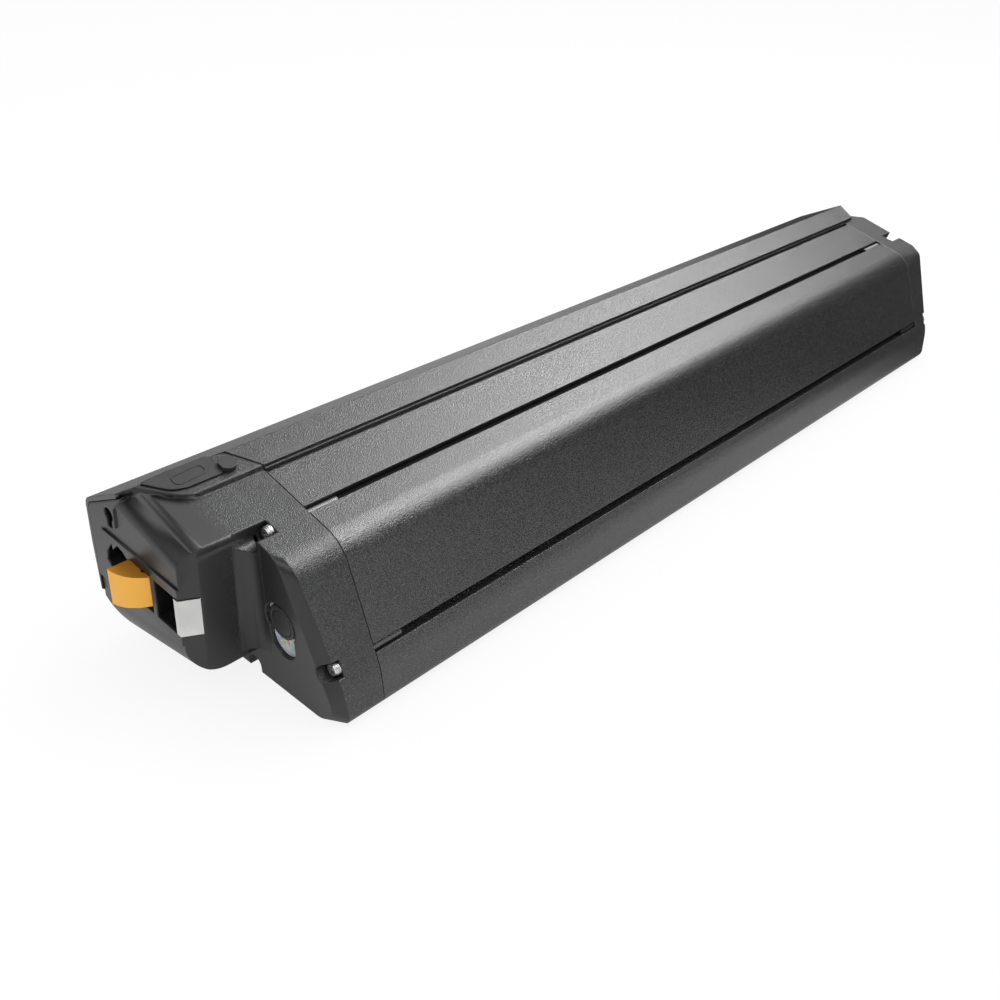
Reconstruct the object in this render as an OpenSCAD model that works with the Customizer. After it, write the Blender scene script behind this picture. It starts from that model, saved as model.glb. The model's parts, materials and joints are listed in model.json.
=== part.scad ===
// Down tube battery for an electric bicycle: an aluminium tube full of cells, a cover plate on its
// outer side, a head cap with the latch, charge port and button, and a tail cap with the connector.
// X runs along the battery with the head at -X, +Y is the outer side, Z is up and the base lies on z = 0.

/* [Tube] */
// Length of the aluminium tube between the two caps
tube_length = 394; // [300:1:460]
// Wall of the tube
tube_wall = 2; // [1.6:0.1:2.6]
// Height of the upper face at the groove beside the cover
groove_height = 65.6; // [64:0.1:68]
// Fall of the upper face towards the inner side, in degrees
top_slope = 14.6; // [12:0.1:15]
// Distance from the groove to the shoulder corner
shoulder_reach = 36.9; // [35:0.1:38]
// Radius of the shoulder
shoulder_r = 13.4; // [10:0.1:15]
// Lean of the inner face from upright, in degrees
inner_lean = 21.9; // [20:0.1:24]
// Height at which the inner face turns nearly upright
knee_height = 15.4; // [12:0.1:18]
// How far the foot corner stands out from the knee
foot_out = 2; // [1:0.1:3]
// Radius of the knee between the inner face and the foot
knee_r = 19; // [10:1:30]
// Radius of the foot corner
foot_r = 4.3; // [3:0.1:6]
// Width of the open screw channels at the surface
slot_w = 3.2; // [2.6:0.1:3.6]
// Bore of the screw channels
channel_d = 4.0; // [3.8:0.1:4.4]
// Depth of the channel axis below the surface
channel_depth = 2.6; // [2.6:0.1:3]
// Place of the upper screw channel, from the groove
upper_channel = 19.8; // [18:0.1:24]
// Height of the screw channel in the inner face
inner_channel = 21.9; // [20:0.1:26]
// Place of the lower screw channel, from the groove
lower_channel = 9.9; // [6:0.1:14]

/* [Cover] */
// Distance from the groove to the crown of the cover, where its outer face begins, if the cells leave it so
crown_reach = 38.3; // [38:0.1:40]
// Lean of the cover's outer face and of the nose, in degrees
cover_lean = 3.1; // [2:0.1:4]
// Thickness of the cover plate
cover_wall = 1.55; // [1.2:0.05:2]
// Gap between the cover and the tube
cover_gap = 0.3; // [0.2:0.05:0.4]
// Place of the cover's lip beside the groove
lip_reach = 1.6; // [1.4:0.1:2]
// Place of the cover's ridge
ridge_reach = 12.9; // [11:0.1:15]
// Fall of the cover's bevel from the ridge to the outer face, in degrees
bevel_slope = 26.9; // [24:0.1:28]
// Radius between the bevel and the outer face
crown_r = 5; // [3:0.1:8]
// Height of the rail that carries the lower edge of the cover
sill_height = 9; // [7:0.1:11]
// Width of the bevel under that rail
sill_bevel = 7.5; // [5:0.1:9]
// How far the ridge of the cover runs past each end of its lip
cover_point = 7; // [4:0.1:9]
// How far the lip runs past the tail end of the tube
cover_overrun = 7; // [5:0.1:9]

/* [Caps] */
// Depth of a cap's band at the base, before its chamfer
band_depth = 14.5; // [12:0.1:16]
// Lean of the chamfer's outer edge, in degrees
band_lean = 4.4; // [3:0.1:5]
// Depth of a cap's end face at the base
face_depth = 18.5; // [17:0.1:22]
// Lean of the end face, in degrees
face_lean = 2.9; // [2:0.1:4]
// Inset of the end face inside the cap's outline
chamfer_inset = 4.4; // [3:0.1:6]
// Thickness of an end face
face_wall = 3; // [2.5:0.1:4]
// Length of the spigot inside the tube
spigot_length = 7.5; // [6:0.1:8]
// Thickness of the spigot's wall
spigot_wall = 2.2; // [1.8:0.1:2.6]
// Distance of the head cap's screw seats from the tube's end
seat_depth = 13.7; // [12:0.1:14]
// Depth of the tail cap's band at the base, before its chamfer
tail_band = 9; // [8:0.1:12]
// Lean of that chamfer's outer edge, in degrees
tail_lean = 8.4; // [6:0.1:9]
// Depth of the tail cap's end face at the base
tail_face = 14.5; // [13.5:0.1:17]
// Lean of the tail cap's end face, in degrees
tail_face_lean = 5; // [4:0.1:6]
// Depth of the tail cap beside the cover
tail_step = 7.6; // [6:0.1:8.5]
// Distance of the tail cap's screw seats from the tube's end
tail_seat = 10.8; // [9.5:0.1:11.5]
// Width of the screw recesses
recess_w = 6.4; // [6.2:0.1:7]
// Diameter of the cap screws' heads
head_d = 5; // [4.6:0.1:5]
// Diameter of the cap screws' shanks
shank_d = 3.6; // [3.2:0.1:3.7]
// Length of the cap screws under the head
screw_length = 26; // [20:0.5:32]

/* [Nose] */
// Length of the nose from the tube's end to the front
nose_length = 44.5; // [42:0.1:50]
// Place of the nose's side wall
nose_side = 16.5; // [15:0.1:17.5]
// Height of the nose's chin above the base
nose_foot = 8.6; // [7.6:0.1:11.6]
// Radius of the nose's brow
brow_r = 8; // [6:0.1:10]
// Radius of the nose's chin
chin_r = 13.3; // [10:0.1:14]
// Length of the bevel between the nose's side and front
cheek_length = 6; // [4:0.1:8]
// Width of that bevel
cheek_width = 3.2; // [2:0.1:4]
// Upper edge of the raised strip on the nose, below the groove
strip_top = 17.3; // [15:0.1:18.5]
// Depth of the step above and below the strip
strip_step = 0.6; // [0.4:0.1:1]
// Radius of the cove between the nose and the end face
cove_r = 7.2; // [5:0.1:8]
// Distance of the cove's edge from the tube's end
cove_edge = 25.6; // [24:0.1:27]

/* [Latch] */
// Height of the latch
latch_height = 14; // [12:0.1:14.4]
// Rise of the latch's lower edge towards its toe
latch_rise = 2.4; // [1:0.1:3]
// How far the latch stands out of the nose
latch_proud = 7.3; // [5:0.1:8]
// Diameter of the latch's pin
latch_pin_d = 3; // [2.5:0.1:3.5]
// Height of the opening for the latch and the lock bolt
pocket_height = 14.8; // [14.7:0.1:16]
// Depth of that opening, as a share of the nose's length
pocket_share = 0.472; // [0.462:0.001:0.49]
// Thickness of the strike plate
strike_t = 1; // [0.8:0.1:1.2]

/* [Charge port] */
// Distance of the charge port from the tube's end
port_x = 23; // [20:0.1:26]
// Place of the charge port from the groove, along the upper face
port_u = 10; // [9.5:0.1:10.5]
// Bore of the charge port
port_bore = 6.2; // [5.5:0.1:6.4]
// Diameter of the port's centre pin
port_pin_d = 2.1; // [2:0.1:2.5]
// Length of the port's barrel below the platform
port_length = 13; // [11:0.1:14]
// Thickness of the rubber flap
flap_t = 1.6; // [1.4:0.1:2]

/* [Button and light] */
// Place of the power button from the groove
button_y = 29; // [28:0.1:30]
// Height of the power button, as a share of the groove's
button_level = 0.4726; // [0.46:0.001:0.5]
// Diameter of the power button
button_d = 12.6; // [11:0.1:13]
// Width of the upper part of the button's window
window_w = 14.8; // [14.4:0.1:15.2]
// Width of the lower part of the window
window_foot_w = 12.4; // [11:0.1:13]
// Distance between the upper and lower parts' centres
window_drop = 8; // [7:0.1:9]

/* [Cells] */
// Diameter of a cell
cell_d = 21.2; // [20.8:0.1:21.4]
// Length of a cell
cell_length = 70; // [68:0.1:70]
// Spacing of the cells along the tube
cell_pitch = 22.2; // [22:0.1:22.4]
// Spacing of the two rows
row_pitch = 22.2; // [21.8:0.1:22.4]
// Number of cells side by side in a group
group = 3; // [1:1:3]
// Place of the inner ends of the cells
cell_reach = 36.4; // [36:0.1:36.6]
// Thickness of the nickel strips
strip_t = 0.3; // [0.2:0.05:0.4]
// Width of the nickel strips
strip_w = 8; // [6:0.5:10]

/* [Hidden] */
$fn = 48;

// Overrun of every cut
cut = 1;
// Thickness of the slices that a cap's chamfer is hulled from
slice = 0.05;
// Loose fit, slide fit and pin fit between pieces
fit = 0.25;
slide = 0.15;
pin_fit = 0.05;
// Turn of one step of a rounded corner, in degrees
arc_step = 8;

// Outlines: polygons in the Y-Z plane or the X-Y plane, as corners with a radius each
function dir(a) = [cos(a), sin(a)];
function left(a) = [-sin(a), cos(a)];
function wrap(i, n) = (i + n) % n;
function heading(p, q) = atan2(q.y - p.y, q.x - p.x);
function turn(a, b) = b - a > 180 ? b - a - 360 : b - a < -180 ? b - a + 360 : b - a;
function meet(p, a, q, b) = p + dir(a) * (cross(q - p, dir(b)) / cross(dir(a), dir(b)));
function ends(pts, i) = let (n = len(pts))
  [heading(pts[wrap(i - 1, n)], pts[i]), heading(pts[i], pts[wrap(i + 1, n)])];
// A closed outline moved inwards, its corners listed anticlockwise, by one distance or one for each side
function side_move(d, i, n) = is_list(d) ? d[wrap(i, n)] : d;
function inset(pts, d) = let (n = len(pts)) [for (i = [0:n - 1]) let (a = ends(pts, i))
  meet(pts[i] + left(a[0]) * side_move(d, i - 1, n), a[0], pts[i] + left(a[1]) * side_move(d, i, n), a[1])];
function arc(p, a, b, r) = let (t = turn(a, b), side = sign(t), back = r * tan(abs(t) / 2),
  centre = p - dir(a) * back + left(a) * r * side, n = max(1, ceil(abs(t) / arc_step)))
  [for (k = [0:n]) centre - left(a + t * k / n) * r * side];
function rounded(pts, radii) = [for (i = [0:len(pts) - 1]) let (a = ends(pts, i))
  each (radii[i] > 0 ? arc(pts[i], a[0], a[1], radii[i]) : [pts[i]])];
function less(radii, d) = [for (r = radii) r > 0 ? max(r - d, d / 10) : 0];
// An open path moved to its left, its ends moved square to it
function beside(pts, d) = let (n = len(pts)) [for (i = [0:n - 1])
  let (a = i == 0 ? heading(pts[0], pts[1]) : heading(pts[i - 1], pts[i]),
    b = i == n - 1 ? a : heading(pts[i], pts[i + 1]))
  abs(turn(a, b)) < 0.1 ? pts[i] + left(a) * d
    : meet(pts[i] + left(a) * d, a, pts[i] + left(b) * d, b)];

// Section of the battery, in Y and Z
// Room between the ends of the cells and the crown
cell_room = 4.7;
cover_reach = max(crown_reach, cell_length - cell_reach + cell_room);
step_rise = cover_wall + cover_gap;
groove = [0, groove_height];
nose_drop = groove_height - nose_foot;
top_heading = 180 + top_slope;
inner_heading = 270 - inner_lean;
shoulder = [-shoulder_reach, groove_height - shoulder_reach * tan(top_slope)];
knee = [shoulder.x - (shoulder.y - knee_height) * tan(inner_lean), knee_height];
foot = [knee.x - foot_out, 0];
ridge_z = groove_height + ridge_reach * tan(top_slope) + step_rise / cos(top_slope);
ridge = [ridge_reach, ridge_z];
crown = [cover_reach, ridge_z - (cover_reach - ridge_reach) * tan(bevel_slope)];
lip = [lip_reach, groove_height + lip_reach * tan(top_slope) + step_rise / cos(top_slope)];
cover_foot = [crown.x + (crown.y - sill_height) * tan(cover_lean), sill_height];
cover_edge = cover_foot + dir(90 + cover_lean) * cover_gap;
cover_path = [cover_edge, crown, ridge, lip];
tube_path = beside(cover_path, step_rise);
base_corner = [cover_foot.x - sill_bevel, 0];
heel = meet(base_corner, heading(base_corner, cover_foot), tube_path[0], 90 + cover_lean);
// Corners of the tube's outline, anticlockwise from the base, and their radii
tube_corners = [foot, base_corner, heel, tube_path[1], tube_path[2], shoulder, knee];
tube_radii = [foot_r, 0, 0, max(crown_r - step_rise, 1), 0, shoulder_r, knee_r];
tube_inner_radii = [foot_r - tube_wall, 0, 0, max(crown_r - step_rise - tube_wall, 1), 0,
  shoulder_r - tube_wall, knee_r];

module along_x(x0, x1) translate([x0, 0, 0]) rotate([90, 0, 90]) linear_extrude(x1 - x0) children();
module tube_area(d = 0) polygon(rounded(inset(tube_corners, d), less(tube_radii, d)));

// Screw channels: place on the section's surface and the direction out of it
inner_z = inner_channel;
inner_y = shoulder.x - (shoulder.y - inner_z) * tan(inner_lean);
channels = [
  [[-upper_channel, groove_height - upper_channel * tan(top_slope)], 90 + top_slope],
  [[inner_y, inner_z], 180 - inner_lean],
  [[-lower_channel, 0], 270]];
function channel_centre(c) = c[0] - dir(c[1]) * channel_depth;
boss_wall = 1.7;
boss_d = channel_d + 2 * boss_wall;

module at_channel(c) translate(channel_centre(c)) rotate(c[1]) children();
module channel_bores() for (c = channels) at_channel(c) {
  circle(d = channel_d);
  translate([0, -slot_w / 2]) square([channel_depth + cut, slot_w]);
}

// The tube's groove that the cover's lip hooks into
hook_w = 1.3;
hook_depth = 1.1;
groove_w = lip_reach + hook_w + fit;
module groove_area() translate(groove) rotate(top_slope)
  translate([0, -hook_depth - fit]) square([groove_w, hook_depth + fit + step_rise]);

module battery_tube() color([0.09, 0.09, 0.1]) along_x(0, tube_length) difference() {
  union() {
    difference() {
      tube_area();
      polygon(rounded(inset(tube_corners, tube_wall), tube_inner_radii));
    }
    intersection() {
      tube_area();
      union() {
        for (c = channels) translate(channel_centre(c)) circle(d = boss_d);
        translate(groove) rotate(top_slope) translate([-tube_wall, -hook_depth - fit - tube_wall])
          square([groove_w + 2 * tube_wall, hook_depth + fit + tube_wall]);
      }
    }
    rail_area();
  }
  channel_bores();
  groove_area();
}
// Rail under the lower edge of the cover
module rail_area() polygon([heel, cover_foot, cover_foot + left(90 + cover_lean) * (step_rise + tube_wall / 2),
  heel + left(90 + cover_lean) * tube_wall / 2]);

// Cover plate: one bent plate from its lower edge to its lip
cover_radii = [0, crown_r, 1, 0];
module cover_area() {
  inner = beside(cover_path, cover_wall);
  n = len(cover_path);
  outer_pts = [for (i = [0:n - 1]) i == 1
    ? arc(crown, heading(cover_path[0], crown), heading(crown, ridge), crown_r) : [cover_path[i]]];
  inner_pts = [for (i = [n - 1:-1:0]) i == 1
    ? arc(inner[1], heading(inner[2], inner[1]), heading(inner[1], inner[0]), crown_r - cover_wall)
    : [inner[i]]];
  polygon([for (p = concat(outer_pts, inner_pts)) each p]);
}
module hook_area() translate(groove) rotate(top_slope) translate([lip_reach, -hook_depth])
  square([hook_w, hook_depth + cover_gap + slice]);
// Ends of the cover, seen from above: pointed at the ridge, and cut back along the head's platform
parting_u = 16.2;
parting_lead = 5;
cover_end_x = tube_length + cover_overrun;
module cover_plan(d = 0) polygon([[d, -cut], [d, lip_reach], [-cover_point + d, ridge_reach],
  [-cover_point - parting_lead, parting_u + d], [-nose_length - cut, parting_u + d],
  [-nose_length - cut, cover_reach + cut], [cover_end_x + cover_point, cover_reach + cut],
  [cover_end_x + cover_point, ridge_reach], [cover_end_x, lip_reach], [cover_end_x, -cut]]);
// Cut that lifts the cover's lower edge along the nose
nose_gap = 0.3;
sill_rise = [[-nose_length - cut, -cut], [-nose_length - cut, groove_height - nose_drop + chin_r],
  [-nose_length + cheek_length, groove_height - nose_drop + chin_r - cheek_length],
  [-band_depth - cheek_length, sill_height], [-band_depth - cheek_length, -cut]];

module outer_cover() color([0.1, 0.1, 0.11]) difference() {
  union() {
    intersection() {
      along_x(-nose_length, cover_end_x + cover_point) cover_area();
      linear_extrude(ridge_z + cut) cover_plan();
    }
    along_x(cover_gap, tube_length - cover_gap) hook_area();
  }
  translate([0, 2 * cover_reach, 0]) rotate([90, 0, 0]) linear_extrude(2 * cover_reach) polygon(sill_rise);
}

// Caps: a band with the tube's outline, a slanted chamfer and a slanted end face. A cap is given as
// [band depth, its lean, face depth, its lean, seat depth, shoulder radius, inset of the end face's sides]
face_inset = [0, 0, chamfer_inset / 3, chamfer_inset / 2, 0, chamfer_inset, chamfer_inset * 0.7];
edge_shoulder_r = 5;
head = [band_depth, band_lean, face_depth, face_lean, seat_depth, shoulder_r];
tail = [tail_band, tail_lean, tail_face, tail_face_lean, tail_seat, edge_shoulder_r];
function cap_radii(c, d) = [foot_r + d, 0, 0, max(crown_r - step_rise, 1), 0, max(c[5] - d, 1), knee_r];
module tilted_slice(depth, lean, c, d) translate([-depth, 0, 0]) rotate([0, -lean, 0])
  along_x(0, slice) polygon(rounded(inset(tube_corners, d), cap_radii(c, max(d))));
// Bevel round a cap where it meets the tube
seam = 0.3;
module cap_body(c) hull() {
  along_x(-slice, 0) tube_area(seam);
  along_x(-seam - slice, -seam) tube_area();
  tilted_slice(c[0], c[1], c, [0, 0, 0, 0, 0, 0, 0]);
  tilted_slice(c[2], c[3], c, face_inset);
}
// Frame of an end face: its own X points into the battery, and X = 0 is the face
module on_face(c) translate([-c[2], 0, 0]) rotate([0, -c[3], 0]) children();
spigot_gap = tube_wall + fit;
cavity_inset = spigot_gap + spigot_wall;
module cap_spigot() difference() {
  along_x(-slice, spigot_length) tube_area(spigot_gap);
  for (c = channels) translate([-slice, channel_centre(c).x, channel_centre(c).y])
    rotate([0, 90, 0]) cylinder(d = boss_d + 2 * fit, h = spigot_length + cut);
  translate([0, groove.x, groove.y]) rotate([top_slope, 0, 0])
    translate([0, -tube_wall - fit, -hook_depth - 2 * fit - tube_wall])
      cube([spigot_length + cut, groove_w + 2 * (tube_wall + fit), hook_depth + cut + 2 * tube_wall]);
}
module cap_cavity(c) intersection() {
  along_x(-c[2] - nose_length, spigot_length + cut) tube_area(cavity_inset);
  on_face(c) translate([face_wall, -nose_length * 2, -cut])
    cube([2 * nose_length, nose_length * 4, 2 * groove_height]);
}
// Screw recess: a channel open to the outside, and the clearance hole behind it
module screw_recess(c, seat) translate([0, channel_centre(c).x, channel_centre(c).y]) rotate([c[1], 0, 0]) {
  reach = nose_length - seat;
  translate([-nose_length, 0, 0]) rotate([0, 90, 0]) cylinder(d = recess_w, h = reach);
  translate([-nose_length, 0, -recess_w / 2]) cube([reach, channel_depth + cut, recess_w]);
  translate([-nose_length, 0, 0]) rotate([0, 90, 0])
    cylinder(d = channel_d, h = nose_length + spigot_length + cut);
}
// Column round each screw inside a cap
module screw_columns(c) intersection() {
  for (k = channels) translate([-c[2] + face_wall / 2, channel_centre(k).x, channel_centre(k).y])
    rotate([0, 90, 0]) cylinder(d = recess_w + 2 * boss_wall, h = c[2] - face_wall / 2);
  cap_body(c);
}
// Gasket: a ring round the spigot's mouth, between the cap's shoulder and the tube's inner wall
gasket_t = 1.2;
gasket_w = 1.4;
module gasket_area(d) difference() {
  tube_area(tube_wall + slide + d);
  for (c = channels) translate(channel_centre(c)) circle(d = boss_d + 2 * (slide + d));
  translate(groove) rotate(top_slope) translate([-tube_wall - slide - d, -hook_depth - slide - fit - tube_wall - d])
    square([groove_w + 2 * (tube_wall + slide + d), hook_depth + 3 * tube_wall]);
}
module gasket() along_x(spigot_length + slide, spigot_length + slide + gasket_t) difference() {
  gasket_area(0);
  gasket_area(gasket_w);
}
module screws(seat) for (c = channels) translate([-seat, channel_centre(c).x, channel_centre(c).y])
  rotate([0, 90, 0]) cap_screw();
head_h = 2.2;
drive_w = 0.8;
drive_l = 3;
module cap_screw() difference() {
  union() {
    translate([0, 0, -head_h]) cylinder(d1 = head_d * 0.8, d2 = head_d, h = head_h / 2);
    translate([0, 0, -head_h / 2]) cylinder(d = head_d, h = head_h / 2);
    translate([0, 0, -slice]) cylinder(d = shank_d, h = screw_length + slice);
  }
  for (a = [0, 90]) rotate(a) translate([-drive_l / 2, -drive_w / 2, -head_h - cut])
    cube([drive_l, drive_w, head_h / 2 + cut]);
}

// Nose frame: origin in the groove, leaning with the nose; its X stays the battery's X
module nose_frame() translate([0, 0, groove_height]) rotate([cover_lean, 0, 0]) children();
nose_slope = top_slope - cover_lean;
nose_out = cover_reach * cos(cover_lean) + (crown.y - groove_height) * sin(cover_lean) - step_rise;
module up_from(t0, t1) translate([0, 0, t0]) linear_extrude(t1 - t0) children();
// Outline of the nose from above, in X and Y
nose_plan = [[-band_depth, -nose_side], [-band_depth, nose_out + cut], [-nose_length, nose_out + cut],
  [-nose_length, cheek_width - nose_side], [-nose_length + cheek_length, -nose_side]];
// Half section of the nose from the front, above the middle of its height
nose_mid = -nose_drop / 2;
nose_half = [[-nose_side - cut, nose_mid - slice], [nose_out + 2 * cut, nose_mid - slice],
  [nose_out + 2 * cut, (nose_side - nose_out) * tan(bevel_slope - cover_lean)],
  [nose_side, nose_side * tan(nose_slope)],
  [-nose_side - cut, -(nose_side + cut) * tan(nose_slope)]];
// Edge of the rounded brow beside the dowel hole, and the full width of the chin, in Y and down from the groove
brow_shares = [[1.788, -1.05], [1.21, -0.757], [1.182, -0.303], [0.788, 0.182], [0.788, 1]];
brow_edge = concat([[-nose_side - cut, brow_shares[0].y * nose_side]], brow_shares * nose_side,
  [[-nose_side - cut, nose_side]]);
chin_edge = [[-nose_side - cut, -strip_top], [nose_out + 2 * cut, -strip_top], [nose_out + 2 * cut, nose_side],
  [-nose_side - cut, nose_side]];
module nose_half_solid(r, edge) difference() {
  intersection() {
    up_from(-nose_drop, nose_drop) polygon(nose_plan);
    along_x(-nose_length, -band_depth) polygon(nose_half);
  }
  // Step beside the strip
  along_x(-nose_length - cut, -nose_length + strip_step) polygon(edge);
  // Round edge at the front
  intersection() {
    along_x(-nose_length - cut, -nose_length + strip_step + r) polygon(edge);
    rotate([nose_slope, 0, 0]) difference() {
      translate([-nose_length - cut, -3 * nose_side, -r]) cube([strip_step + r + cut, 6 * nose_side, r + cut]);
      translate([-nose_length + strip_step + r, -3 * nose_side, -r]) rotate([-90, 0, 0])
        cylinder(r = r, h = 6 * nose_side, $fn = 96);
    }
  }
}
module nose_solid() {
  nose_half_solid(brow_r, brow_edge);
  translate([0, 0, 2 * nose_mid]) mirror([0, 0, 1]) nose_half_solid(chin_r, chin_edge);
}
// Outline that the nose keeps within, under the cover
nose_limit = let (down = dir(90 + cover_lean) * sill_height, across = dir(top_slope) * 2 * nose_side)
  [groove - across - [0, 2 * nose_drop], tube_path[0] - down - [0, nose_drop], tube_path[0] - down, tube_path[1],
    tube_path[2], groove - across];
module within_cover() intersection() {
  children();
  along_x(-nose_length - cut, 0) polygon(rounded(nose_limit, [0, 0, 0, max(crown_r - step_rise, 1), 0, 0]));
}
// Cove between the nose's side wall and the end face
module cove() intersection() {
  difference() {
    translate([-cove_edge, -nose_side - cove_r, -nose_drop + cheek_length])
      cube([cove_edge - band_depth, cove_r + slice, nose_drop - cheek_length]);
    translate([-face_depth, 0, -groove_height]) rotate([0, -face_lean, 0])
      translate([-cove_r, -nose_side - cove_r, -nose_drop]) cylinder(r = cove_r, h = 3 * nose_drop, $fn = 96);
    translate([-face_depth, 0, -groove_height]) rotate([0, -face_lean, 0])
      translate([-2 * cove_r - cut, -nose_side - 3 * cove_r, -nose_drop])
        cube([2 * cove_r + cut + slice, 2 * cove_r, 3 * nose_drop]);
  }
  along_x(-nose_length, 0) polygon([[-2 * nose_side, -nose_drop], [0, -nose_drop], [0, 0],
    [-2 * nose_side, -2 * nose_side * tan(nose_slope)]]);
}

// Platform frame: origin in the groove, its XY plane on the tube's upper face
module on_top() translate([0, 0, groove_height]) rotate([top_slope, 0, 0]) children();
platform_u = lip_reach / cos(top_slope);
swing_shares = [0.63, 0.91];
swing_x = swing_shares[0] * nose_length;
swing_end_x = swing_shares[1] * nose_length;
swing_end_u = 14.8;
swing_r = 12;
platform_outer_u = parting_u - cover_gap;
platform_corners = [[0, platform_u], [-cover_point, ridge_reach], [-cover_point - parting_lead,
  platform_outer_u], [-nose_length, platform_outer_u + slice], [-nose_length, (swing_end_u + platform_outer_u) / 2],
  [-swing_end_x, swing_end_u], [-swing_x, platform_u]];
platform_radii = [0, 0, 0, 0, 0, swing_r, swing_r];
module platform() intersection() {
  on_top() translate([-cover_gap, 0, -hook_depth]) linear_extrude(hook_depth + 3 * step_rise)
    polygon(rounded(platform_corners, platform_radii));
  along_x(-nose_length, 0) polygon(concat([[-slice, groove_height - nose_side]],
    [[nose_out, groove_height - nose_side]], [cover_path[1]], [ridge], [lip]));
}

// Opening for the latch and the lock bolt, in the nose frame
pocket_top = nose_mid + pocket_height / 2;
pocket_right = -11.7;
bolt_left = 0.1;
latch_right = 2.1;
latch_left = 14.8;
pocket_depth = pocket_share * nose_length;
pocket_back = -nose_length + pocket_depth;
// Odd-shaped hole beside the latch, as shares of the nose's length
ear_shares = [[0.3, -0.72], [0.56, -0.72], [0.645, -0.66], [0.62, -0.56], [0.545, -0.46],
  [0.535, -0.51], [0.46, -0.435], [0.39, -0.455], [0.3, -0.52]];
module pocket() {
  translate([-nose_length - cut, pocket_right, pocket_top - pocket_height])
    cube([pocket_depth + cut, bolt_left - pocket_right, pocket_height]);
  translate([-nose_length - cut, latch_right, pocket_top - pocket_height])
    cube([pocket_depth + cut, latch_left - latch_right, pocket_height]);
  along_x(-nose_length - cut, pocket_back) polygon(ear_shares * nose_length);
}

// Space inside the nose, behind and above the pocket
nose_wall = 2.6;
module nose_cavity() {
  translate([pocket_back + nose_wall, -nose_side + nose_wall, -nose_drop + 2 * nose_wall])
    cube([nose_length, nose_side + nose_out - 2 * nose_wall, nose_drop - 3 * nose_wall - strip_top / 2]);
  translate([-nose_length + brow_r + nose_wall, -nose_side + nose_wall, pocket_top + nose_wall])
    cube([nose_length, nose_side + nose_out - 2 * nose_wall, -pocket_top - nose_wall - strip_top / 2]);
}

// Locating holes in the nose's front
dowel_d = 5;
dowel_depth = 9;
dowel_y = 23;
dowel_z = -8.5;
dowel_tail = 3.4;
dowel_tail_w = 3;
module dowel_hole() translate([-nose_length - cut, dowel_y, dowel_z]) {
  rotate([0, 90, 0]) cylinder(d = dowel_d, h = dowel_depth + cut);
  translate([0, -dowel_tail_w / 2, -dowel_tail - dowel_tail_w / 2])
    cube([dowel_depth / 3 + cut, dowel_tail_w, dowel_tail + dowel_tail_w / 2]);
}

// Strike plate: bent round the edge of the pocket, in X and Y
strike_leg = 9;
strike_path = [[-nose_length + cheek_length, -nose_side], [-nose_length, cheek_width - nose_side],
  [-nose_length, pocket_right], [-nose_length + strike_leg, pocket_right]];
strike_drop = 0.3;
strike_proud = 0.3;
module strike_area(out, d = 0) {
  outer = beside(strike_path, out);
  inner = beside(strike_path, strike_proud - strike_t - d);
  polygon(concat(outer, [for (i = [len(inner) - 1:-1:0]) inner[i]]));
}
strike_top = pocket_top - strike_drop;
strike_height = pocket_height - 2 * strike_drop;
strike_screw_x = -nose_length + strike_leg * 0.7;
strike_screw_d = 2;
strike_head_d = 3.8;
strike_head_h = 1.2;
strike_screw_l = 2;

// Latch: a bolt that slides in the opening on an upright pin
latch_share = 0.281;
latch_length = latch_share * nose_length;
latch_gap = 0.3;
latch_tip = [-nose_length - latch_proud, latch_left - latch_gap];
latch_toe = [-nose_length - strip_step, latch_right + 2 * latch_gap];
latch_back = -nose_length + latch_length;
latch_arc_share = 0.13;
latch_bottom = nose_mid - latch_height / 2;
pin_end = 3;
pin_place = [latch_back - 2 * latch_pin_d / 2 - cut, latch_right + 1.4 * latch_pin_d];
spring_d = 4;
spring_wire = 0.6;
spring_y = latch_left - spring_d;
spring_bore = 8;

// Platform recesses for the flap, in X and along the upper face
// Front corners as shares of the way from the port to the tip, back corners as shares of the way to the
// tube's end; each with its place across as a share of the platform's width
flap_margin = 6.3;
flap_front = nose_length - flap_margin - port_x;
flap_front_shares = [[1, 0.907], [0.559, 0.415], [0.232, 0.322]];
flap_back_shares = [[0.418, 0.322], [0.444, 0.566], [0.41, 0.924]];
flap_side_share = [0.329, 0.938];
flap_corners = concat([for (c = flap_front_shares) [-port_x - c.x * flap_front, c.y * platform_outer_u]],
  [for (c = flap_back_shares) [-port_x + c.x * port_x, c.y * platform_outer_u]],
  [[-port_x - flap_side_share.x * flap_front, flap_side_share.y * platform_outer_u]]);
flap_r_shares = [0.04, 0.46, 0.33, 0.065, 0.13, 0.1, 0.79];
flap_radii = flap_r_shares * flap_front;
flap_sink = 1.1;
module flap_area(d = 0) polygon(rounded(inset(flap_corners, d), [for (r = flap_radii) max(r - d, slide)]));
flap_top = step_rise - flap_sink + flap_t;
port_barrel_d = 8.6;
port_flange_d = 9.4;
port_flange_t = 0.8;
nut_d = 12;
nut_h = 2.4;
port_floor = -nose_wall;
port_top = step_rise - flap_sink - slide;
plug_gap = 0.35;

module port_place() translate([-port_x, port_u, 0]) children();

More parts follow.
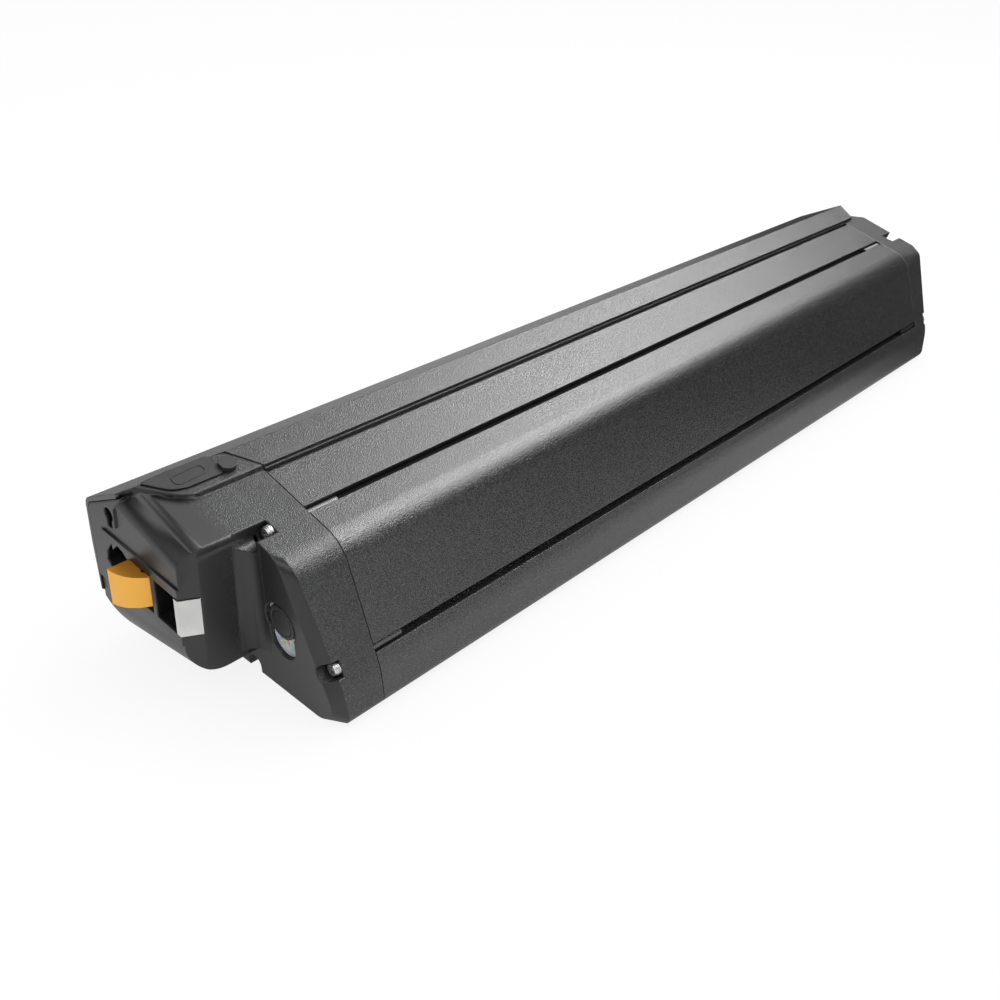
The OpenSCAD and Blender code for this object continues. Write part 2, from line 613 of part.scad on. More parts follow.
module head_cap() color([0.08, 0.08, 0.09]) difference() {
  union() {
    difference() {
      union() {
        cap_body(head);
        within_cover() nose_frame() nose_solid();
        nose_frame() cove();
        platform();
      }
      cap_cavity(head);
      intersection() {
        nose_frame() nose_cavity();
        along_x(-nose_length, 0) tube_area(nose_wall);
      }
    }
    screw_columns(head);
    cap_spigot_shell();
    window_posts();
    // Block that holds the strike plate and its screw, and the pin's ends
    intersection() {
      nose_frame() translate([-nose_length + strip_step, -nose_side + cheek_width, pocket_top - pocket_height
        - pin_end - nose_wall]) cube([pocket_depth + nose_wall, nose_side + nose_out - cheek_width - nose_wall,
        pocket_height + 2 * (pin_end + nose_wall)]);
      along_x(-nose_length, 0) tube_area(nose_wall / 2);
      difference() {
        within_cover() nose_frame() nose_solid();
        nose_frame() pocket();
      }
    }
  }
  for (c = channels) screw_recess(c, seat_depth);
  nose_frame() {
    pocket();
    dowel_hole();
    translate([0, 0, strike_top - strike_height - strike_drop / 2])
      linear_extrude(strike_height + strike_drop) strike_area(cut, slide);
    translate([pin_place.x, pin_place.y, pocket_top - pocket_height - pin_end])
      cylinder(d = latch_pin_d + 2 * pin_fit, h = pocket_height + 2 * pin_end);
    strike_screw_place() cylinder(d = strike_screw_d, h = strike_screw_l + fit);
  }
  on_top() {
    translate([0, 0, step_rise - flap_sink]) linear_extrude(flap_t + step_rise) flap_area();
    port_place() translate([0, 0, -port_length]) cylinder(d = port_barrel_d + 2 * pin_fit,
      h = port_length + 2 * step_rise);
    port_place() translate([0, 0, port_top - port_flange_t]) cylinder(d = port_flange_d + 2 * slide,
      h = port_flange_t + step_rise);
    port_place() translate([0, 0, -port_length - 2 * nut_h]) cylinder(d = nut_d + 2 * fit,
      h = port_length + 2 * nut_h + port_floor);
  }
  on_face(head) window_hole();
}
module cap_spigot_shell() difference() {
  cap_spigot();
  along_x(-cut, spigot_length + cut) tube_area(cavity_inset);
}
module strike_screw_place() translate([strike_screw_x, pocket_right + strike_proud - strike_t, nose_mid])
  rotate([90, 0, 0]) children();

button_z = button_level * groove_height;
// Window behind the end face: an upper round part and a lower narrower one
module window_area(d) {
  translate([-button_y, button_z]) circle(d = window_w + 2 * d);
  translate([-button_y, button_z - window_drop]) circle(d = window_foot_w + 2 * d);
  translate([-button_y - window_foot_w / 2 - d, button_z - window_drop])
    square([window_foot_w + 2 * d, window_drop]);
}
rebate = 1.5;
button_flush = 0.3;
window_t = 1.2;
window_rise = 1.6;
module window_hole() {
  along_x(-cut, face_wall + cut) window_area(0);
  along_x(face_wall - window_t, face_wall + cut) window_area(rebate);
}
board_x = 8;
board_t = 1.6;
board_w = 18;
post_d = 3.4;
// The board reaches past the window above, and nearly to the cap's floor below
board_rise = window_w / 2 + rebate + post_d;
board_drop_share = 0.782;
board_h = board_rise + board_drop_share * button_z;
board_corner = 5;
board_z = button_z + board_rise - board_h / 2;
post_inset = 2.4;
post_places = [[0, board_h / 2 - post_inset], [board_w / 2 - post_inset, post_inset - board_h / 2],
  [post_inset - board_w / 2, post_inset - board_h / 2]];
module window_posts() on_face(head) for (p = post_places)
  translate([face_wall - slice, p.x - button_y, p.y + board_z]) rotate([0, 90, 0])
    cylinder(d = post_d, h = board_x - face_wall + slice);

module light_window() color([0.8, 0.82, 0.84]) on_face(head) difference() {
  union() {
    along_x(face_wall - window_t, face_wall) window_area(rebate - slide);
    along_x(face_wall - window_rise, face_wall) window_area(-slide);
  }
  translate([-cut, -button_y, button_z]) rotate([0, 90, 0])
    cylinder(d = button_d + 2 * slide, h = face_wall + 2 * cut);
}
button_travel = 0.7;
button_flange = 0.9;
button_stem_d = 4;
switch_h = 1.9;
module power_button() color([0.05, 0.05, 0.05]) on_face(head) translate([0, -button_y, button_z])
  rotate([0, 90, 0]) {
    translate([0, 0, button_flush]) cylinder(d = button_d, h = face_wall - button_flush + 2 * slide);
    translate([0, 0, face_wall + slide]) cylinder(d = button_d + 2 * button_flange, h = button_flange);
    translate([0, 0, face_wall + slide]) cylinder(d = button_stem_d,
      h = board_x - switch_h - button_travel - fit - face_wall - slide);
  }
module button_board() color([0.05, 0.3, 0.14]) on_face(head)
  translate([0, -button_y, board_z]) along_x(board_x, board_x + board_t) polygon([[-board_w / 2, -board_h / 2],
    [board_w / 2, -board_h / 2], [board_w / 2, board_h / 2 - board_corner],
    [board_w / 2 - board_corner, board_h / 2], [board_corner - board_w / 2, board_h / 2],
    [-board_w / 2, board_h / 2 - board_corner]]);
module button_switch() color([0.75, 0.75, 0.78]) on_face(head) translate([board_x, -button_y, button_z]) {
  translate([-switch_h / 2, -switch_h * 1.6, -switch_h * 1.6]) cube([switch_h / 2, switch_h * 3.2, switch_h * 3.2]);
  translate([-switch_h, 0, 0]) rotate([0, 90, 0]) cylinder(d = switch_h * 1.8, h = switch_h / 2 + slice);
}
lamp_count = 4;
lamp_w = 1.8;
lamp_h = 3;
module indicator_lamps() color([0.95, 0.9, 0.4]) on_face(head)
  for (i = [0:lamp_count - 1])
    translate([board_x - lamp_w, -button_y + (i - (lamp_count - 1) / 2) * lamp_w * 1.4 - lamp_w / 2,
      button_z - window_drop - lamp_h])
      cube([lamp_w, lamp_w, lamp_h]);

module head_gasket() color([0.15, 0.15, 0.15]) gasket();
module tail_gasket() color([0.15, 0.15, 0.15]) at_tail() gasket();
module head_screws() color([0.75, 0.75, 0.76]) screws(seat_depth);
module tail_screws() color([0.75, 0.75, 0.76]) at_tail() screws(tail_seat);
module at_tail() translate([tube_length, 0, 0]) mirror([1, 0, 0]) children();

// Tail cap, with a mouth for the discharge socket
socket_y = -15.5;
socket_z = button_level * groove_height;
socket_w = 26;
socket_h = 20;
socket_flange = 4.4;
socket_flange_t = 2;
socket_body_l = 12;
socket_r = 3;
module socket_area(d) translate([socket_y - socket_w / 2 - d, socket_z - socket_h / 2 - d])
  polygon(rounded([[0, 0], [socket_w + 2 * d, 0], [socket_w + 2 * d, socket_h + 2 * d],
    [0, socket_h + 2 * d]], [socket_r, socket_r, socket_r, socket_r]));
rail_l = 34;
rail_w = 3;
rail_h = 4;
board_level = 12;
control_t = 1.6;
control_y0 = -33;
control_y1 = 29;
// Outer side of the tail cap, seen from above: stepped back beside the cover
step_edge = 1.2;
step_root = 8.4;
module tail_trim(d) translate([0, 0, -cut]) linear_extrude(2 * groove_height) polygon([
  [-2 * tail_face, step_edge - d - tail_face / 2], [-tail_face - 2 * tail_band * tan(tail_lean) - 2 * cut + d, step_edge - d],
  [-tail_step + d, step_root - d], [-tail_step + d, 2 * cover_reach], [-2 * tail_face, 2 * cover_reach]]);
module tail_cap() color([0.08, 0.08, 0.09]) at_tail() difference() {
  union() {
    difference() {
      cap_body(tail);
      difference() {
        cap_cavity(tail);
        tail_trim(face_wall);
      }
    }
    screw_columns(tail);
    cap_spigot_shell();
    tail_rails();
  }
  tail_trim(0);
  for (c = channels) screw_recess(c, tail_seat);
  on_face(tail) {
    along_x(-cut, face_wall + cut) socket_area(fit);
    along_x(-cut, socket_flange_t) socket_area(socket_flange + fit);
    socket_screw_places() rotate([0, 90, 0]) cylinder(d = socket_screw_d, h = socket_screw_l + fit);
  }
}
// Rails that hold the edges of the control board
module tail_rails() difference() {
  for (y = [control_y0 - rail_w / 2, control_y1 - rail_w / 2])
    translate([-tail_face + face_wall / 2, y, board_level - rail_h / 2])
      cube([tail_face - face_wall / 2 + rail_l, rail_w, rail_h]);
  translate([-tail_step + face_wall, control_y0 - slide, board_level - control_t / 2 - slide])
    cube([rail_l + 2 * tail_step, control_y1 - control_y0 + 2 * slide, control_t + 2 * slide]);
}

socket_screw_d = 2.6;
socket_screw_l = 8;
socket_head_d = 3.6;
socket_head_h = 1.2;
module socket_screw_places() for (s = [-1, 1])
  translate([0, socket_y + s * (socket_w + socket_flange) / 2, socket_z]) children();
cup_depth = 8;
cup_wall = 2;
module discharge_socket() color([0.12, 0.12, 0.12]) at_tail() on_face(tail) difference() {
  union() {
    along_x(0, socket_flange_t) socket_area(socket_flange);
    along_x(0, socket_body_l) socket_area(0);
  }
  along_x(-cut, cup_depth) socket_area(-cup_wall);
  socket_screw_places() translate([-cut, 0, 0]) rotate([0, 90, 0])
    cylinder(d = socket_head_d + 2 * slide, h = cut + socket_head_h);
  socket_screw_places() rotate([0, 90, 0]) cylinder(d = socket_screw_d + 2 * slide, h = face_wall);
  for (b = blade_places) translate([cup_depth - cut, b - blade_w / 2 - slide, socket_z - blade_h / 2 - slide])
    cube([socket_body_l, blade_w + 2 * slide, blade_h + 2 * slide]);
  for (b = pin_places) translate([cup_depth - cut, b[0], b[1]]) rotate([0, 90, 0])
    cylinder(d = signal_d + 2 * pin_fit, h = socket_body_l);
}
blade_w = 2;
blade_h = 9;
blade_l = 13;
blade_gap = 15;
blade_places = [socket_y - blade_gap / 2, socket_y + blade_gap / 2];
signal_d = 1.6;
signal_l = 12;
signal_pitch = 4.4;
pin_places = [for (i = [-1, 1], j = [-1, 1]) [socket_y + i * signal_pitch / 2, socket_z + j * signal_pitch / 2]];
contact_length = 6;
contact_x = cup_depth - contact_length;
module discharge_blades() color([0.8, 0.62, 0.3]) at_tail() on_face(tail) for (b = blade_places)
  translate([contact_x, b - blade_w / 2, socket_z - blade_h / 2]) cube([blade_l, blade_w, blade_h]);
module signal_pins() color([0.85, 0.7, 0.35]) at_tail() on_face(tail) for (b = pin_places)
  translate([contact_x, b[0], b[1]]) rotate([0, 90, 0]) cylinder(d = signal_d, h = signal_l);
module socket_screws() color([0.7, 0.7, 0.72]) at_tail() on_face(tail) socket_screw_places() rotate([0, 90, 0]) {
  cylinder(d = socket_head_d, h = socket_head_h);
  cylinder(d = socket_screw_d - 2 * pin_fit, h = socket_screw_l);
}

// Charge flap and port
// Place of the tab along and across the upper face
flap_tab = [-port_x * 0.461, port_u * 0.74];
tab_d = 6;
tab_h = 1.6;
module charge_flap() color([0.13, 0.13, 0.13]) on_top() {
  translate([0, 0, step_rise - flap_sink + slide]) linear_extrude(flap_t - slide) flap_area(slide);
  translate([0, 0, step_rise + fit]) intersection() {
    translate([flap_tab.x, flap_tab.y, 0]) cylinder(d = tab_d, h = tab_h);
    translate([flap_tab.x - tab_d / 2 + fit, flap_tab.y - tab_d, 0]) cube([tab_d, 2 * tab_d, tab_h]);
  }
  translate([flap_tab.x - tab_d / 2 - cut, flap_tab.y - tab_d / 4, step_rise + fit])
    cube([tab_d / 2, tab_d / 2, flap_top - step_rise - fit]);
  port_place() translate([0, 0, step_rise - flap_sink - flap_t]) difference() {
    cylinder(d = port_bore - 2 * plug_gap, h = flap_t + slide + slice);
    translate([0, 0, -cut]) cylinder(d = port_pin_d + 4 * slide, h = flap_t + cut);
  }
}
module charge_socket() color([0.2, 0.2, 0.21]) on_top() port_place() difference() {
  union() {
    translate([0, 0, -port_length]) cylinder(d = port_barrel_d, h = port_length + port_top);
    translate([0, 0, port_top - port_flange_t]) cylinder(d = port_flange_d, h = port_flange_t);
  }
  translate([0, 0, -port_length + port_bore / 2]) cylinder(d = port_bore, h = port_length + 2 * step_rise);
  translate([0, 0, -port_length - cut]) cylinder(d = port_pin_d + 2 * pin_fit, h = port_length);
}
module charge_pin() color([0.8, 0.8, 0.82]) on_top() port_place()
  translate([0, 0, -port_length]) cylinder(d = port_pin_d, h = port_length - flap_t - flap_sink);
module socket_nut() color([0.7, 0.7, 0.72]) on_top() port_place() translate([0, 0, port_floor - nut_h - slide])
  difference() {
    cylinder(d = nut_d, h = nut_h, $fn = 6);
    translate([0, 0, -cut]) cylinder(d = port_barrel_d + 2 * pin_fit, h = nut_h + 2 * cut, $fn = 48);
  }

// Latch: a sprung bolt with a slanted face, its pin and its spring
module latch() color([0.87, 0.62, 0.16]) nose_frame() difference() {
  translate([0, 0, latch_bottom]) linear_extrude(latch_height)
    polygon(concat([[latch_back, latch_tip.y]], latch_face(), [[-nose_length, latch_right + latch_gap],
      [latch_back, latch_right + latch_gap]]));
  along_x(-2 * nose_length, 0) polygon([[latch_tip.y, latch_bottom], [latch_toe.y, latch_bottom + latch_rise],
    [-latch_tip.y, latch_bottom + latch_rise], [-latch_tip.y, latch_bottom - cut],
    [latch_tip.y, latch_bottom - cut]]);
  translate([0, 0, latch_bottom - cut]) linear_extrude(latch_height + 2 * cut) {
    translate(pin_place) circle(d = latch_pin_d + 2 * pin_fit);
    translate([pin_place.x - latch_proud, pin_place.y]) circle(d = latch_pin_d + 2 * pin_fit);
    translate([pin_place.x - latch_proud, pin_place.y - latch_pin_d / 2 - pin_fit])
      square([latch_proud, latch_pin_d + 2 * pin_fit]);
  }
  translate([latch_back - spring_bore, spring_y, nose_mid]) rotate([0, 90, 0])
    cylinder(d = spring_d + 2 * fit, h = spring_bore + cut);
}
// The latch's face: a shallow arc from its tip to its toe
latch_steps = 10;
function latch_face() = let (chord = latch_toe - latch_tip) [for (i = [0:latch_steps])
  let (k = i / latch_steps) latch_tip + chord * k
    + left(heading(latch_toe, latch_tip)) * norm(chord) * latch_arc_share * 4 * k * (1 - k)];
module latch_pin() color([0.75, 0.75, 0.76]) nose_frame()
  translate([pin_place.x, pin_place.y, pocket_top - pocket_height - pin_end + slide])
    cylinder(d = latch_pin_d, h = pocket_height + 2 * (pin_end - slide));
module latch_spring() color([0.6, 0.6, 0.62]) nose_frame()
  translate([latch_back - spring_bore + slide, spring_y, nose_mid]) rotate([0, 90, 0]) difference() {
    cylinder(d = spring_d, h = pocket_back - latch_back + spring_bore - 2 * slide);
    translate([0, 0, -cut]) cylinder(d = spring_d - 2 * spring_wire, h = pocket_depth);
  }
module strike_plate() color([0.8, 0.8, 0.8]) nose_frame() difference() {
  translate([0, 0, strike_top - strike_height]) linear_extrude(strike_height) strike_area(strike_proud);
  strike_screw_place() translate([0, 0, -cut - strike_t]) cylinder(d = strike_screw_d + 2 * slide,
    h = 2 * strike_t + 2 * cut);
}
module strike_screw() color([0.75, 0.75, 0.76]) nose_frame() strike_screw_place() {
  translate([0, 0, -strike_t - strike_head_h - slide / 2]) cylinder(d = strike_head_d, h = strike_head_h);
  translate([0, 0, -strike_t - slide]) cylinder(d = strike_screw_d - 2 * pin_fit, h = strike_screw_l + strike_t);
}

// Cell pack: two rows of cells across the tube, above its lower screw channel
pack_x = 10;
pad_gap = 0.1;
// Room for the control board between the cells and the tube's end
tail_room = 50;
cell_columns = group * max(1, floor((tube_length - pack_x - tail_room) / (cell_pitch * group)));
row_z0 = channel_depth + boss_d / 2 + pad_gap + cell_d / 2;
row_count = max(1, floor((shoulder.y - tube_wall - row_z0 + cell_d / 2) / row_pitch));
top_row = row_count - 1;
cell_y0 = -cell_reach;
cap_step = 0.8;
rows = [0:top_row];
function cell_x(i) = pack_x + cell_d / 2 + i * cell_pitch;
function cell_z(r) = row_z0 + r * row_pitch;
cell_places = [for (r = rows, i = [0:cell_columns - 1]) [cell_x(i), cell_z(r)]];
module across(y0, y1) translate([0, y1, 0]) rotate([90, 0, 0]) linear_extrude(y1 - y0) children();
module cells() color([0.16, 0.42, 0.36]) for (r = rows, i = [0:cell_columns - 1])
  translate([cell_x(i), cell_y0 + cell_length / 2, cell_z(r)])
    rotate([(floor(i / group) + r) % 2 == 0 ? 90 : -90, 0, 0]) {
      translate([0, 0, -cell_length / 2]) cylinder(d = cell_d, h = cell_length - cap_step);
      cylinder(d = cell_d / 3, h = cell_length / 2);
    }
bracket_t = 5;
bracket_in = 3.5;
bracket_x1 = cell_x(cell_columns - 1) + cell_d / 2;
bracket_top = cell_z(top_row) + cell_d / 2 + cap_step;
module bracket(y) across(y, y + bracket_t) difference() {
  translate([pack_x - cap_step, tube_wall + fit]) square([bracket_x1 - pack_x + 2 * cap_step,
    bracket_top - tube_wall - fit]);
  for (c = cell_places) translate(c) circle(d = cell_d + 2 * pin_fit);
}
module cell_bracket_inner() color([0.85, 0.85, 0.82]) bracket(cell_y0 + bracket_in);
module cell_bracket_outer() color([0.85, 0.85, 0.82]) bracket(cell_y0 + cell_length - 2 * bracket_in - bracket_t);
// Nickel strips: bars along each row, with links between the rows on the inner side
module strip_bar(i, n, r) translate([cell_x(i) - strip_w / 2, cell_z(r) - strip_w / 2])
  square([(min(i + n, cell_columns) - i - 1) * cell_pitch + strip_w, strip_w]);
module nickel_strips_inner() color([0.75, 0.74, 0.7]) across(cell_y0 - strip_t, cell_y0) {
  for (i = [0:group:cell_columns - 1], r = rows) strip_bar(i, group, r);
  for (i = [0:cell_columns - 1]) translate([cell_x(i) - strip_w / 4, cell_z(0)])
    square([strip_w / 2, max(top_row * row_pitch, strip_w / 2)]);
}
module nickel_strips_outer() color([0.75, 0.74, 0.7]) across(cell_y0 + cell_length, cell_y0 + cell_length + strip_t)
  for (i = [0:group:cell_columns - 1]) {
    if (i % (2 * group) == 0) strip_bar(i, 2 * group, 0);
    if (i % (2 * group) == group) strip_bar(i, 2 * group, top_row);
    if (i == 0) strip_bar(i, group, top_row);
  }
sheet_t = 0.3;
module sheet(y, top) across(y, y + sheet_t) translate([pack_x, cell_z(0) - cell_d / 2])
  square([bracket_x1 - pack_x, top - cell_z(0) + cell_d / 2]);
module insulation_inner() color([0.5, 0.6, 0.7]) sheet(cell_y0 - strip_t - pad_gap / 2 - sheet_t,
  cell_z(top_row) + strip_w / 2);
module insulation_outer() color([0.5, 0.6, 0.7]) sheet(cell_y0 + cell_length + strip_t + pad_gap,
  cell_z(top_row) + strip_w);
pad_y = -lower_channel + boss_d;
module base_pad() color([0.3, 0.3, 0.3]) translate([pack_x + cell_pitch, pad_y, tube_wall + pad_gap])
  cube([bracket_x1 - pack_x - 2 * cell_pitch, cell_y0 + cell_length - 3 * bracket_in - bracket_t - pad_y,
    cell_z(0) - cell_d / 2 - tube_wall - 2 * pad_gap]);

// Control board on the tail cap's rails
control_x1 = tube_length + tail_step - face_wall - slide;
board_gap = 6;
control_l = tail_room - tail_step + board_gap;
control_x0 = control_x1 - control_l;
board_top = board_level + control_t / 2;
module control_board() color([0.05, 0.28, 0.14])
  translate([control_x0, control_y0, board_level - control_t / 2])
    cube([control_x1 - control_x0, control_y1 - control_y0, control_t]);
fet_l = 9;
fet_w = 8;
fet_h = 3.6;
fet_pitch = 12;
fet_margin = 4;
fet_count = 4;
module fet_places() for (i = [0:fet_count - 1])
  translate([control_x0 + fet_margin, (i - fet_count / 2) * fet_pitch, board_top]) children();
module control_transistors() color([0.1, 0.1, 0.1]) fet_places() cube([fet_l, fet_w, fet_h]);
plate_t = 2;
module heat_plate() color([0.72, 0.73, 0.75]) translate([control_x0 + fet_margin, -fet_count / 2 * fet_pitch - cut,
  board_top + fet_h + pad_gap]) cube([fet_l, (fet_count - 1) * fet_pitch + fet_w + 2 * cut, plate_t]);
plug_l = 6;
plug_w = 20;
plug_h = 5;
plug_x = control_x0 + 2 * fet_margin + fet_l;
module balance_plug() color([0.9, 0.9, 0.86]) translate([plug_x, -plug_w / 2, board_top])
  cube([plug_l, plug_w, plug_h]);
fuse_d = 5;
fuse_l = 16;
fuse_x = plug_x + plug_l + fuse_d;
module fuse() color([0.85, 0.8, 0.6]) translate([fuse_x, 0, board_top + fuse_d / 2]) rotate([-90, 0, 0])
  cylinder(d = fuse_d, h = fuse_l);

// Leads: tubes swept along their routes
lead_sides = 8;
function lead_tangent(p, i) = let (n = len(p), d = p[min(i + 1, n - 1)] - p[max(i - 1, 0)]) d / norm(d);
function lead_ring(p, i, r) = let (t = lead_tangent(p, i),
  ref = abs(t.z) > 0.8 ? [1, 0, 0] : [0, 0, 1],
  u = cross(t, ref) / norm(cross(t, ref)), v = cross(t, u))
  [for (k = [0:lead_sides - 1]) p[i] + r * (u * cos(360 * k / lead_sides) + v * sin(360 * k / lead_sides))];
module lead(p, d) {
  n = len(p);
  m = lead_sides;
  polyhedron(points = [for (i = [0:n - 1]) each lead_ring(p, i, d / 2)],
    faces = concat([[for (k = [0:m - 1]) k]],
      [for (i = [0:n - 2], k = [0:m - 1]) let (a = i * m + k, b = i * m + (k + 1) % m) [b + m, b, a]],
      [for (i = [0:n - 2], k = [0:m - 1]) let (a = i * m + k, b = i * m + (k + 1) % m) [a + m, b + m, a]],
      [[for (k = [m - 1:-1:0]) (n - 1) * m + k]]));
}
power_d = 3;
signal_lead_d = 1.6;
// Points of each route, from where the lead begins; what lies past the cells moves with their end
lead_gap = 0.2;
blade_end = tube_length + tail_face - (contact_x + blade_l) * cos(tail_face_lean) + socket_z * sin(tail_face_lean)
  - lead_gap - power_d * sin(tail_face_lean);
blade_z = socket_z * cos(tail_face_lean) + (contact_x + blade_l) * sin(tail_face_lean);
port_end = [-port_x, port_u * cos(top_slope) + port_length * sin(top_slope),
  groove_height + port_u * sin(top_slope) - port_length * cos(top_slope) - 2 * lead_gap];
function shift_x(points, x) = [for (p = points) [p.x + x, p.y, p.z]];
pack_end = bracket_x1 + cap_step + lead_gap;
positive_start = [[0, 0, 0], [-5, 0, 0], [-10, 2, 2], [-16, 6, 6], [-22, 12, 9], [-30, 18, 11]];
positive_rest = [[14.5, 22, 12], [6.5, 24, 12], [0, 24.5, 12]];
positive_route = concat(positive_start, shift_x(positive_rest, pack_end - blade_end));
negative_drop = blade_z - board_top - lead_gap;
negative_route = [[0, 0, 0], [-5, 0, 0], [-9, 0, -2], [-12, 0, -negative_drop / 3], [-13, 0, -0.6 * negative_drop],
  [-13, 0, -negative_drop]];
board_run = control_x0 - pack_end;
pack_route = concat([[0, 0, 0], [2, 0, 0]], shift_x([[-1, 0, -2], [1, 0, -6], [2, 0, -11], [2, 0, -15.4]], board_run));
charge_start = [[0, 0, 0], [0, 0, -2], [3, 1, -3.5], [8, 2, -3], [14, 3, -1.5], [20, 4, 0], [27, 5, 1.5],
  [34, 5, 2]];
function charge_rest(drop) = [[-16, 5, 2], [-10, 8, 1], [-4, 11, -0.1 * drop], [-1, 13, -drop / 3],
  [0, 14, -2 * drop / 3], [0, 14, -drop]];
function charge_route(start) = concat(charge_start,
  shift_x(charge_rest(start.z - board_top - lead_gap), control_x0 + signal_lead_d - start.x));
button_x = -face_depth + board_x + board_t - board_h / 2 * sin(face_lean) + 2 * lead_gap;
button_start = [[0, 0, 0], [3, 0, 0], [6, -3, -1], [10, -8, -3], [15, -13, -4.5], [20, -13.5, -5]];
button_drop = board_z - board_h / 4 - board_top - 3 * lead_gap;
button_rest = [[-7, -13.5, -5], [-1, -11, -2], [4, -7, 1], [6.5, -3.5, 0], [7, -2, -button_drop]];
button_route = concat(button_start, shift_x(button_rest, control_x0 - button_x));
balance_run = plug_x + plug_l / 2 - pack_end;
balance_route = concat([[0, 0, 0], [0, 0, 5], [-1, 0, 10], [-4, 0, 15], [-9, 0, 18], [-16, 0, 19.5]],
  [[-balance_run, 0, 20]]);
pack_z = 28.4;
module positive_lead() color([0.75, 0.08, 0.06]) translate([blade_end, blade_places[1], blade_z])
  lead(positive_route, power_d);
module negative_lead() color([0.08, 0.08, 0.08]) {
  translate([blade_end, blade_places[0], blade_z]) lead(negative_route, power_d);
  translate([pack_end, control_y0 + power_d, pack_z]) lead(pack_route, power_d);
}
module charge_leads() color([0.7, 0.1, 0.08]) for (s = [0, 1])
  let (start = port_end - 2 * s * signal_lead_d * [0, 1, tan(top_slope)])
    translate(start) lead(charge_route(start), signal_lead_d);
module button_lead() color([0.8, 0.8, 0.78]) translate([button_x, -button_y, board_z - board_h / 4])
  lead(button_route, signal_lead_d);
module balance_lead() color([0.85, 0.85, 0.8]) translate([plug_x + plug_l / 2, 0, board_top + plug_h + lead_gap])
  lead(balance_route, signal_lead_d);

// Origin under the middle of the battery: its ends are the latch's tip and the tail cap's upper edge, its
// sides the tube's foot and the rail under the cover
tube_points = rounded(tube_corners, tube_radii);
low_y = min([for (p = tube_points) p.x]);
high_y = cover_foot.x;
low_x = latch_tip.x;
trim_lead = -tail_face - 2 * tail_band * tan(tail_lean) - 2 * cut;
// Where the tail cap's step meets its face along the upper edge
tail_top = meet(tube_path[2], top_heading, [step_edge / 3, 0], 90).y;
high_x = tube_length + tail_face + tail_top * sin(tail_face_lean);
module place() translate([-(low_x + high_x) / 2, -(low_y + high_y) / 2, 0]) children();

place() battery_tube();
place() outer_cover();
place() head_cap();
place() tail_cap();
place() head_gasket();
place() tail_gasket();
place() head_screws();
place() tail_screws();
place() charge_flap();
place() charge_socket();
place() charge_pin();
place() socket_nut();
place() power_button();
place() light_window();
place() button_board();
place() button_switch();
place() indicator_lamps();
place() latch();
place() latch_pin();
place() latch_spring();
place() strike_plate();
place() strike_screw();
place() cells();
place() cell_bracket_inner();
place() cell_bracket_outer();
place() nickel_strips_inner();
place() nickel_strips_outer();
place() insulation_inner();
place() insulation_outer();
place() base_pad();
place() control_board();
place() control_transistors();
place() heat_plate();
place() balance_plug();
place() fuse();
place() discharge_socket();
place() discharge_blades();
place() signal_pins();
place() socket_screws();
place() positive_lead();
place() negative_lead();
place() charge_leads();
place() button_lead();
place() balance_lead();
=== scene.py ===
"""Down tube battery of an electric bicycle: finishes, fine details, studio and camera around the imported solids."""
import json
import math

import bpy
from mathutils import Matrix, Vector

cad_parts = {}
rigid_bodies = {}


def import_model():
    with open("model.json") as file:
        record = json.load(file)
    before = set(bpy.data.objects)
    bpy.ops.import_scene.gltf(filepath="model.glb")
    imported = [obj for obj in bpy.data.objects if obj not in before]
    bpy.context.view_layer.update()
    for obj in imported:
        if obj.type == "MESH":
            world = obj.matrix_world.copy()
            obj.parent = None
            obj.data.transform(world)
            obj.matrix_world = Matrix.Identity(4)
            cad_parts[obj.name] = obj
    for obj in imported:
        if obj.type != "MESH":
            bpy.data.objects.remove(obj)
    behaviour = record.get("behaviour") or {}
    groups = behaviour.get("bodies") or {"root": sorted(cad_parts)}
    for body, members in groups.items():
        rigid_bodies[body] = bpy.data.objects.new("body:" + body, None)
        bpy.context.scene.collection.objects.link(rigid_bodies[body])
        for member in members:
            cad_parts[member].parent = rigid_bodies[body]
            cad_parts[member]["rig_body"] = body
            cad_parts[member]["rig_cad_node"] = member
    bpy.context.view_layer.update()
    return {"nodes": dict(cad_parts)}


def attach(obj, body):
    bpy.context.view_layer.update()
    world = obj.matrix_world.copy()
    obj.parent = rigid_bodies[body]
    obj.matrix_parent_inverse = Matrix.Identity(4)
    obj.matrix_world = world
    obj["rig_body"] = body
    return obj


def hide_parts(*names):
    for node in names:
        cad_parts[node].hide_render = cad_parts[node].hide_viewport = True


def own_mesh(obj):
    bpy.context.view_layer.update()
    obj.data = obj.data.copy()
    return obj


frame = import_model()

# Sizes in metres, as on the real battery. SHIFT is where the tube's head end and groove stand in the frame.
SHIFT = Vector((-0.1812134, 0.006829, 0.0))
LATCH_TRAVEL = 0.00705
GROOVE_HEIGHT = 0.0656
TOP_SLOPE = math.radians(14.6)
NOSE_LEAN = math.radians(3.1)
HEAD_LEAN = math.radians(2.9)
HEAD_DEPTH = 0.0185
TUBE_LENGTH = 0.394
STEP_RISE = 0.00185
PLATFORM_DROP = 0.0011
FLAP_THICKNESS = 0.0016
CHANNEL_CENTRE = (-0.01235, 0.05793)
